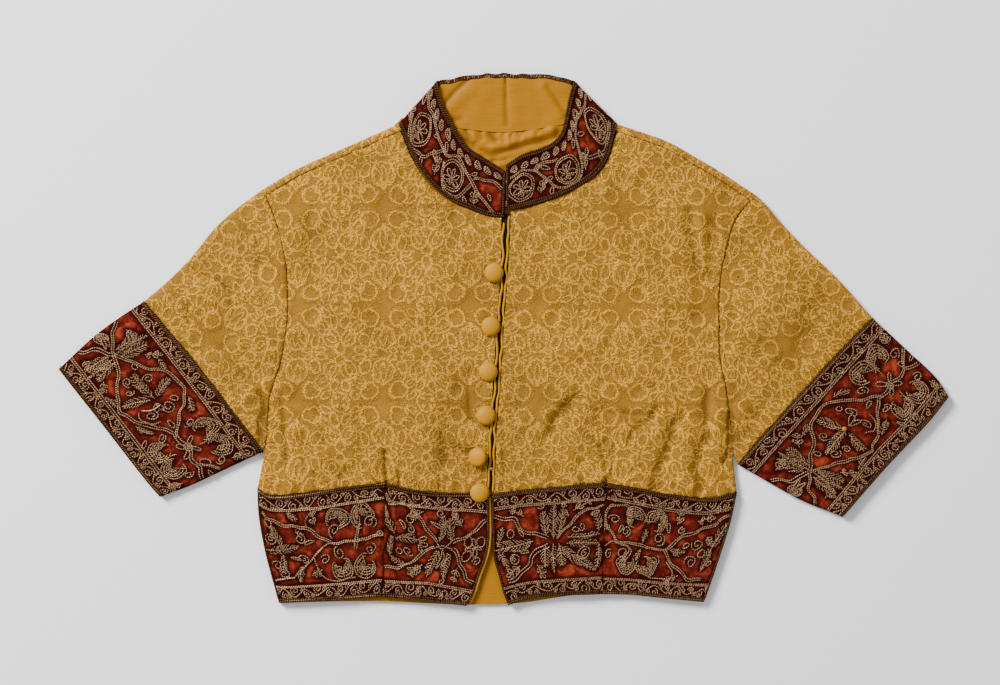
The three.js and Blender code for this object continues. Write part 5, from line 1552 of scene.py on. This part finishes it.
for seed, side in enumerate(SIDES, 95):
    v = stops(34, COLLAR_DEPTH)[:, None]
    front_share = np.concatenate(
        [np.linspace(0, 1, 92)[:-4], 1 - FOLD_STEPS[::-1] / neck[side].reach])[None, :]
    back_share = np.concatenate(
        [FOLD_STEPS[1:] / (back_neck.reach / 2), np.linspace(0, 1, 44)[4:]])[None, :]
    grids = []
    for inside in (False, True):
        top = collar_height(side, *np.broadcast_arrays(front_share, v), True, inside)
        low = collar_height(side, *np.broadcast_arrays(back_share, v), False, inside)
        grids.append(np.concatenate([top, low], 1))
    outer, inner = grids
    outer[0, :, :2] += 0.15 * np.sign(outer[1, :, :2] - outer[0, :, :2])
    mesh = mesh_of(*wall(outer, inner, outer[..., :2]))
    share_row = np.concatenate([front_share, 1 + back_share], 1)
    spots = np.stack(np.broadcast_arrays(share_row * COLLAR_LENGTH, v * COLLAR_DEPTH), -1)
    size = (COLLAR_LENGTH, COLLAR_DEPTH)
    strokes = jitter(collar_pattern(side), 0.6, seed)
    work = embroider(f"collar_{side}", on_collar(side, True), size, strokes,
                     edge_lines(*size, ends=(1.4,)), mesh, spots, seed=seed)
    work += embroider(f"collar_{side}_under", on_collar(side, False), size, strokes,
                      edge_lines(*size), outwards=-1, sides=4, step=2.2, seed=seed)
    collar = piece(f"velvet_collar_{side}", mesh, velvet, "velvet", f"collar_{side}")
    laid(outer)

inset = 0.075
start = lambda s: between(neck["right"](1), collar_top["right"](1), s) + (7, 0)
end = lambda s: between(neck["left"](1), collar_top["left"](1), s) + (-7, 0)
collar_lining_cut = cut(stretch(back_neck, inset, 1 - inset),
                        stretch(back_collar_top, inset, 1 - inset), start, end)
u, v = np.meshgrid(stops(80, 130), stops(34, 45))
plan = collar_lining_cut(u, v)
rise = creased(plan, COLLAR_CREASES) + waviness(plan, 0.12, 40, 14, 37)
rise = rise + 0.3 * np.exp(-v * 45 / 4) - 0.6 * np.exp(-(1 - v) * 45 / 1.8)
face = lifted(plan, LINING_FLOOR + LINING_WALL + 0.9 + rise)
mesh = sheet_mesh(face, LINING_WALL, plan)
# Painted shade in the collar lining's creases.
numbered(mesh, "fold_shade", (-COLLAR_FOLD_STARTS - rise) / COLLAR_FOLD_FULL)
collar_lining = piece("lining_collar", mesh, lining_silk, "lining", "collar_lining")
laid(face)


def at_height(height, rows=()):
    """A face at one height above the table, with the creases of the cloth there."""
    return lambda spot: lifted(spot, height + creased(spot, rows))


top_run = back_collar_top(np.linspace(0.015, 0.985, 120))
gimp_rows = jitter([top_run - (0, 1.7), top_run + (0, 0.1)], 0.55, 103)
mesh = cords(gimp_rows, at_height(3.7), 1.35, sides=7, step=1.2, seed=103)
piece("edging_collar_top", mesh, dark_gimp, "gilt_cord")
draw = np.random.default_rng(104)
knots = back_collar_top(np.sort(draw.uniform(0.02, 0.98, 46))) - (0, 0.8)
slants = draw.normal(0, 0.9, (46, 2))
stitches = [np.array([knot - slant, knot, knot + slant]) for knot, slant in zip(knots, slants)]
mesh = cords(stitches, at_height(5.0), CORD_RADIUS, step=0.7, seed=104)
piece("knots_collar_top", mesh, gilt, "gilt_cord")


# Front closing
# Both front edges are piped with silk-covered cord and meet over a strip sewn behind them. A
# cord binding runs on down the band's front edge.
PIPING_RADIUS = 1.1
PIPING_SWAY = 0.55
PIPING_SEED = {"right": 121, "left": 127}
BINDING_RADIUS = 1.5
UNDERLAP_FLOOR = 4.3
UNDERLAP_WIDTH = 22.0

# Brown cotton sateen for the strip: dull and nearly even, a shade mottled. Its dark brown is painted
# shade, so that the closing reads as a dark line.
shade_dark_sateen, tree, surface = material("brown_sateen_painted_shade", 0.1)
weave = noise(tree, where(tree), 900.0).outputs["Fac"]
fill(tree, surface, {"Base Color": tinted(tree, weave, "#150C05", "#33210F"), "Roughness": 0.8})

# Ribbed silk, cut on the bias: fine slanting ribs a millimetre apart, a little shiny.
ribbed, tree, surface = material("ribbed_silk", 0.18)
ribs = node(tree, "TexWave", {
    "Vector": charted(tree), "Scale": 260.0, "Distortion": 2.0, "Detail": 1.0,
}, bands_direction="DIAGONAL").outputs["Fac"]
fibres = noise(tree, where(tree), 900.0).outputs["Fac"]
spun = maths(tree, "MULTIPLY_ADD", ribs, 0.25, fibres)
fill(tree, surface, {
    "Base Color": tinted(tree, remap(tree, spun, 0.25, 1.0), "#966704", "#C08608"),
    "Roughness": 0.55, "Normal": relief(tree, spun, 0.0003, 0.7)})


for side in SIDES:
    run = centre_front[side](np.linspace(0.01, 0.98, 120)) + (OUTWARDS[side] * PIPING_RADIUS, 0)
    run[:, 0] += OUTWARDS[side] * waviness(run, PIPING_SWAY, 34, 12, PIPING_SEED[side])
    mesh = cords([run], at_height(SILK_LEVEL - PIPING_RADIUS, CREASES), PIPING_RADIUS, sides=10, step=2.0)
    piece(f"piping_cord_{side}", mesh, ribbed, "silk", f"piping_{side}")

binding_run = band_front["right"](np.linspace(0.02, 0.98, 50)) + (0.9, 0)
mesh = cords([binding_run], at_height(BAND_LEVEL - 1.4 - HEM_FALL), BINDING_RADIUS, sides=8, step=2.0)
piece("band_binding", mesh, ribbed, "silk")

share = np.linspace(0.02, 1.0, 60)[:, None]
middle_line = (centre_front["right"](share) + centre_front["left"](share)) / 2
plan = middle_line + np.linspace(-1, 1, 7)[None, :, None] * (UNDERLAP_WIDTH / 2, 0)
face = lifted(plan, UNDERLAP_FLOOR + LINING_WALL)
mesh = sheet_mesh(face, LINING_WALL, plan)
underlap = piece("underlap_strip", mesh, shade_dark_sateen, "lining", "underlap")
laid(face)


# Buttons
# Six domed buttons covered in ribbed silk, gathered behind, each on a short thread shank on the
# right front's edge. The fifth has come loose and leans.
BUTTON_LEAN = (0, 0, 0, 0, -26, 0)  # degrees
BUTTON_RISE = (0, 0, 0, 0, 1.9, 0.7)
DOME = ((0, 0.0), (2.4, 0.0), (2.4, 1.6), (7.4, 1.5), (8.8, 1.9), (9.2, 2.7), (9.1, 3.4), (8.6, 4.4),
        (7.4, 5.5), (5.6, 6.35), (3.6, 6.95), (1.6, 7.25), (0, 7.3))
BUTTON_SINK = 0.5  # into its dimple in the silk
BUTTON_GATHERS = 14
GATHER_DEPTH = 0.018  # share of the radius


def turned_round(centre, outline, sides=20, swell=1.0, lean=0.0):
    """A small turned piece: an outline of radius and height, spun about an upright axis.

    Its radius is times the swell at each point, and it leans by so many degrees about its foot.
    """
    angle = 2 * np.pi * np.arange(sides) / sides
    radius, height = np.array(outline, float).T[..., None]
    radius = radius * swell
    local = np.stack(np.broadcast_arrays(radius * np.cos(angle), radius * np.sin(angle), height), -1)
    c, s = np.cos(np.radians(lean)), np.sin(np.radians(lean))
    points = local @ np.array([[c, 0, -s], [0, 1, 0], [s, 0, c]]) + centre
    faces = grid_faces(len(local), sides, ring=True)
    first = np.arange(sides)
    ends = np.stack([first[::-1], (len(local) - 1) * sides + first])
    return mesh_of(points.reshape(-1, 3), faces, local[..., :2].reshape(-1, 2)[faces], ends)


outline = np.array(DOME)
steps = np.append(0, np.cumsum(np.linalg.norm(np.diff(outline, axis=0), axis=1)))
places = np.linspace(0, 1, 25) * steps[-1]
profile = np.stack([np.interp(places, steps, outline[:, axis]) for axis in (0, 1)], -1)
profile[[0, -1], 0] = 0.02
angle = 2 * np.pi * np.arange(40) / 40
for index, ((x, y), lean, rise) in enumerate(zip(BUTTON_SPOTS, BUTTON_LEAN, BUTTON_RISE), 1):
    phase = np.random.default_rng(index).uniform(0, 6)
    swell = 1 + GATHER_DEPTH * np.cos(BUTTON_GATHERS * angle + phase) * (profile[:, :1] > 6)
    height = SILK_LEVEL + float(creased(np.array([x, y], float), CREASES)) + SEAM_GAP + rise - BUTTON_SINK
    mesh = turned_round((x, y, height), profile, 40, swell, lean)
    piece(f"covered_button_{index}", mesh, ribbed, "button_cover", f"button_{index}")


# Stitches and small marks
# Brown silk sewing thread shows in the armhole, shoulder, dart and neck seams. On the left cuff sits
# one amber glass bead, on the right cuff a thread end stands loose, and a snap shows by the gap.
STITCH = 3.2
STITCH_PITCH = 4.6
STITCH_RADIUS = 0.3
brown_thread = thread("brown_sewing_silk", "#1A0D05", "#4A2C12", 0.0, 0.6)


def stitched(line, reach=None, start=0.0, end=1.0):
    """Short strokes end to end along a nearly straight line or one of a given reach, with gaps."""
    reach = reach or np.linalg.norm(line(1.0) - line(0.0))
    places = np.arange(start * reach, end * reach - STITCH, STITCH_PITCH)
    return [line(np.linspace(place, place + STITCH, 4) / reach) for place in places]


strokes = []
for side in SIDES:
    strokes += stitched(armhole[side], armhole[side].reach, 0.03, 0.97)
    strokes += stitched(shoulder_seam(side))
dart_top = seams(right=((-112.9, -104), (-111.5, -136)), left=((98.0, -110), (97.5, -136)))
for side in SIDES:
    strokes += stitched(dart_top[side], dart_top[side].reach)
in_the_dip = at_height(SILK_LEVEL - 0.75, CREASES)
mesh = cords(strokes, in_the_dip, STITCH_RADIUS, sides=4, step=1.6, seed=111)
piece("seam_stitches", mesh, brown_thread, "silk")

strokes = stitched(lambda s: lining_neck(s) - (0, 0.5))
mesh = cords(strokes, at_height(LINING_FLOOR + 1.2), STITCH_RADIUS, sides=4, step=1.6, seed=112)
piece("neck_stitches", mesh, brown_thread, "lining")

spots_of_wear = np.array([(219.0, 80.3), (225.6, 93.6), (222.8, 59.4), (231.3, 102.1), (212.8, 72.0)])
strokes = [np.array([spot - (0.8, 0.3), spot, spot + (0.8, 0.5)]) for spot in spots_of_wear]
mesh = cords(strokes, at_height(SILK_LEVEL + 0.2, CREASES), 0.55, step=0.6, seed=113)
piece("worn_spots", mesh, brown_thread, "silk")

loose_end = seam((-343.5, -67.5), (-338, -67.8), (-332, -66.4), (-326, -62.4))(np.linspace(0, 1, 14))
mesh = cords([loose_end], at_height(BAND_LEVEL + 2.4), 0.45, step=0.9, seed=114)
pale_thread = thread("pale_silk_thread", "#8A7048", "#E8D8A8", 0.0, 0.5)
piece("loose_thread", mesh, pale_thread, "gilt_cord")


# Amber glass: clear orange, with a small bright glint and darker streaks inside.
amber, tree, surface = material("amber_glass", 0.3)
streaks = noise(tree, where(tree), 500.0).outputs["Fac"]
fill(tree, surface, {
    "Base Color": tinted(tree, streaks, "#7E3A02", "#DB8410"), "Roughness": 0.08, "Coat Weight": 0.3})
BEAD = ((0.1, -2.3), (1.2, -2.0), (2.1, -1.2), (2.5, 0.0), (2.1, 1.2), (1.2, 2.0), (0.1, 2.3))
piece("amber_bead", turned_round((323.5, -85.0, BAND_LEVEL + 3.6), BEAD), amber, "gilt_cord")

# Nickelled brass snap: bright, a little scratched.
nickel, tree, surface = material("nickelled_brass", 0.5)
scratches = noise(tree, where(tree), 1200.0, 3.0).outputs["Fac"]
fill(tree, surface, {
    "Base Color": srgb("#8C8474"), "Metallic": 1.0,
    "Roughness": remap(tree, scratches, to_low=0.35, to_high=0.6)})
SNAP = ((0.1, 0.0), (1.5, 0.0), (1.6, 0.2), (1.3, 0.5), (0.8, 0.6), (0.6, 0.9), (0.1, 1.0))
piece("snap", turned_round((-11.4, -123.0, SILK_LEVEL + 0.4), SNAP), nickel, "button_cover")
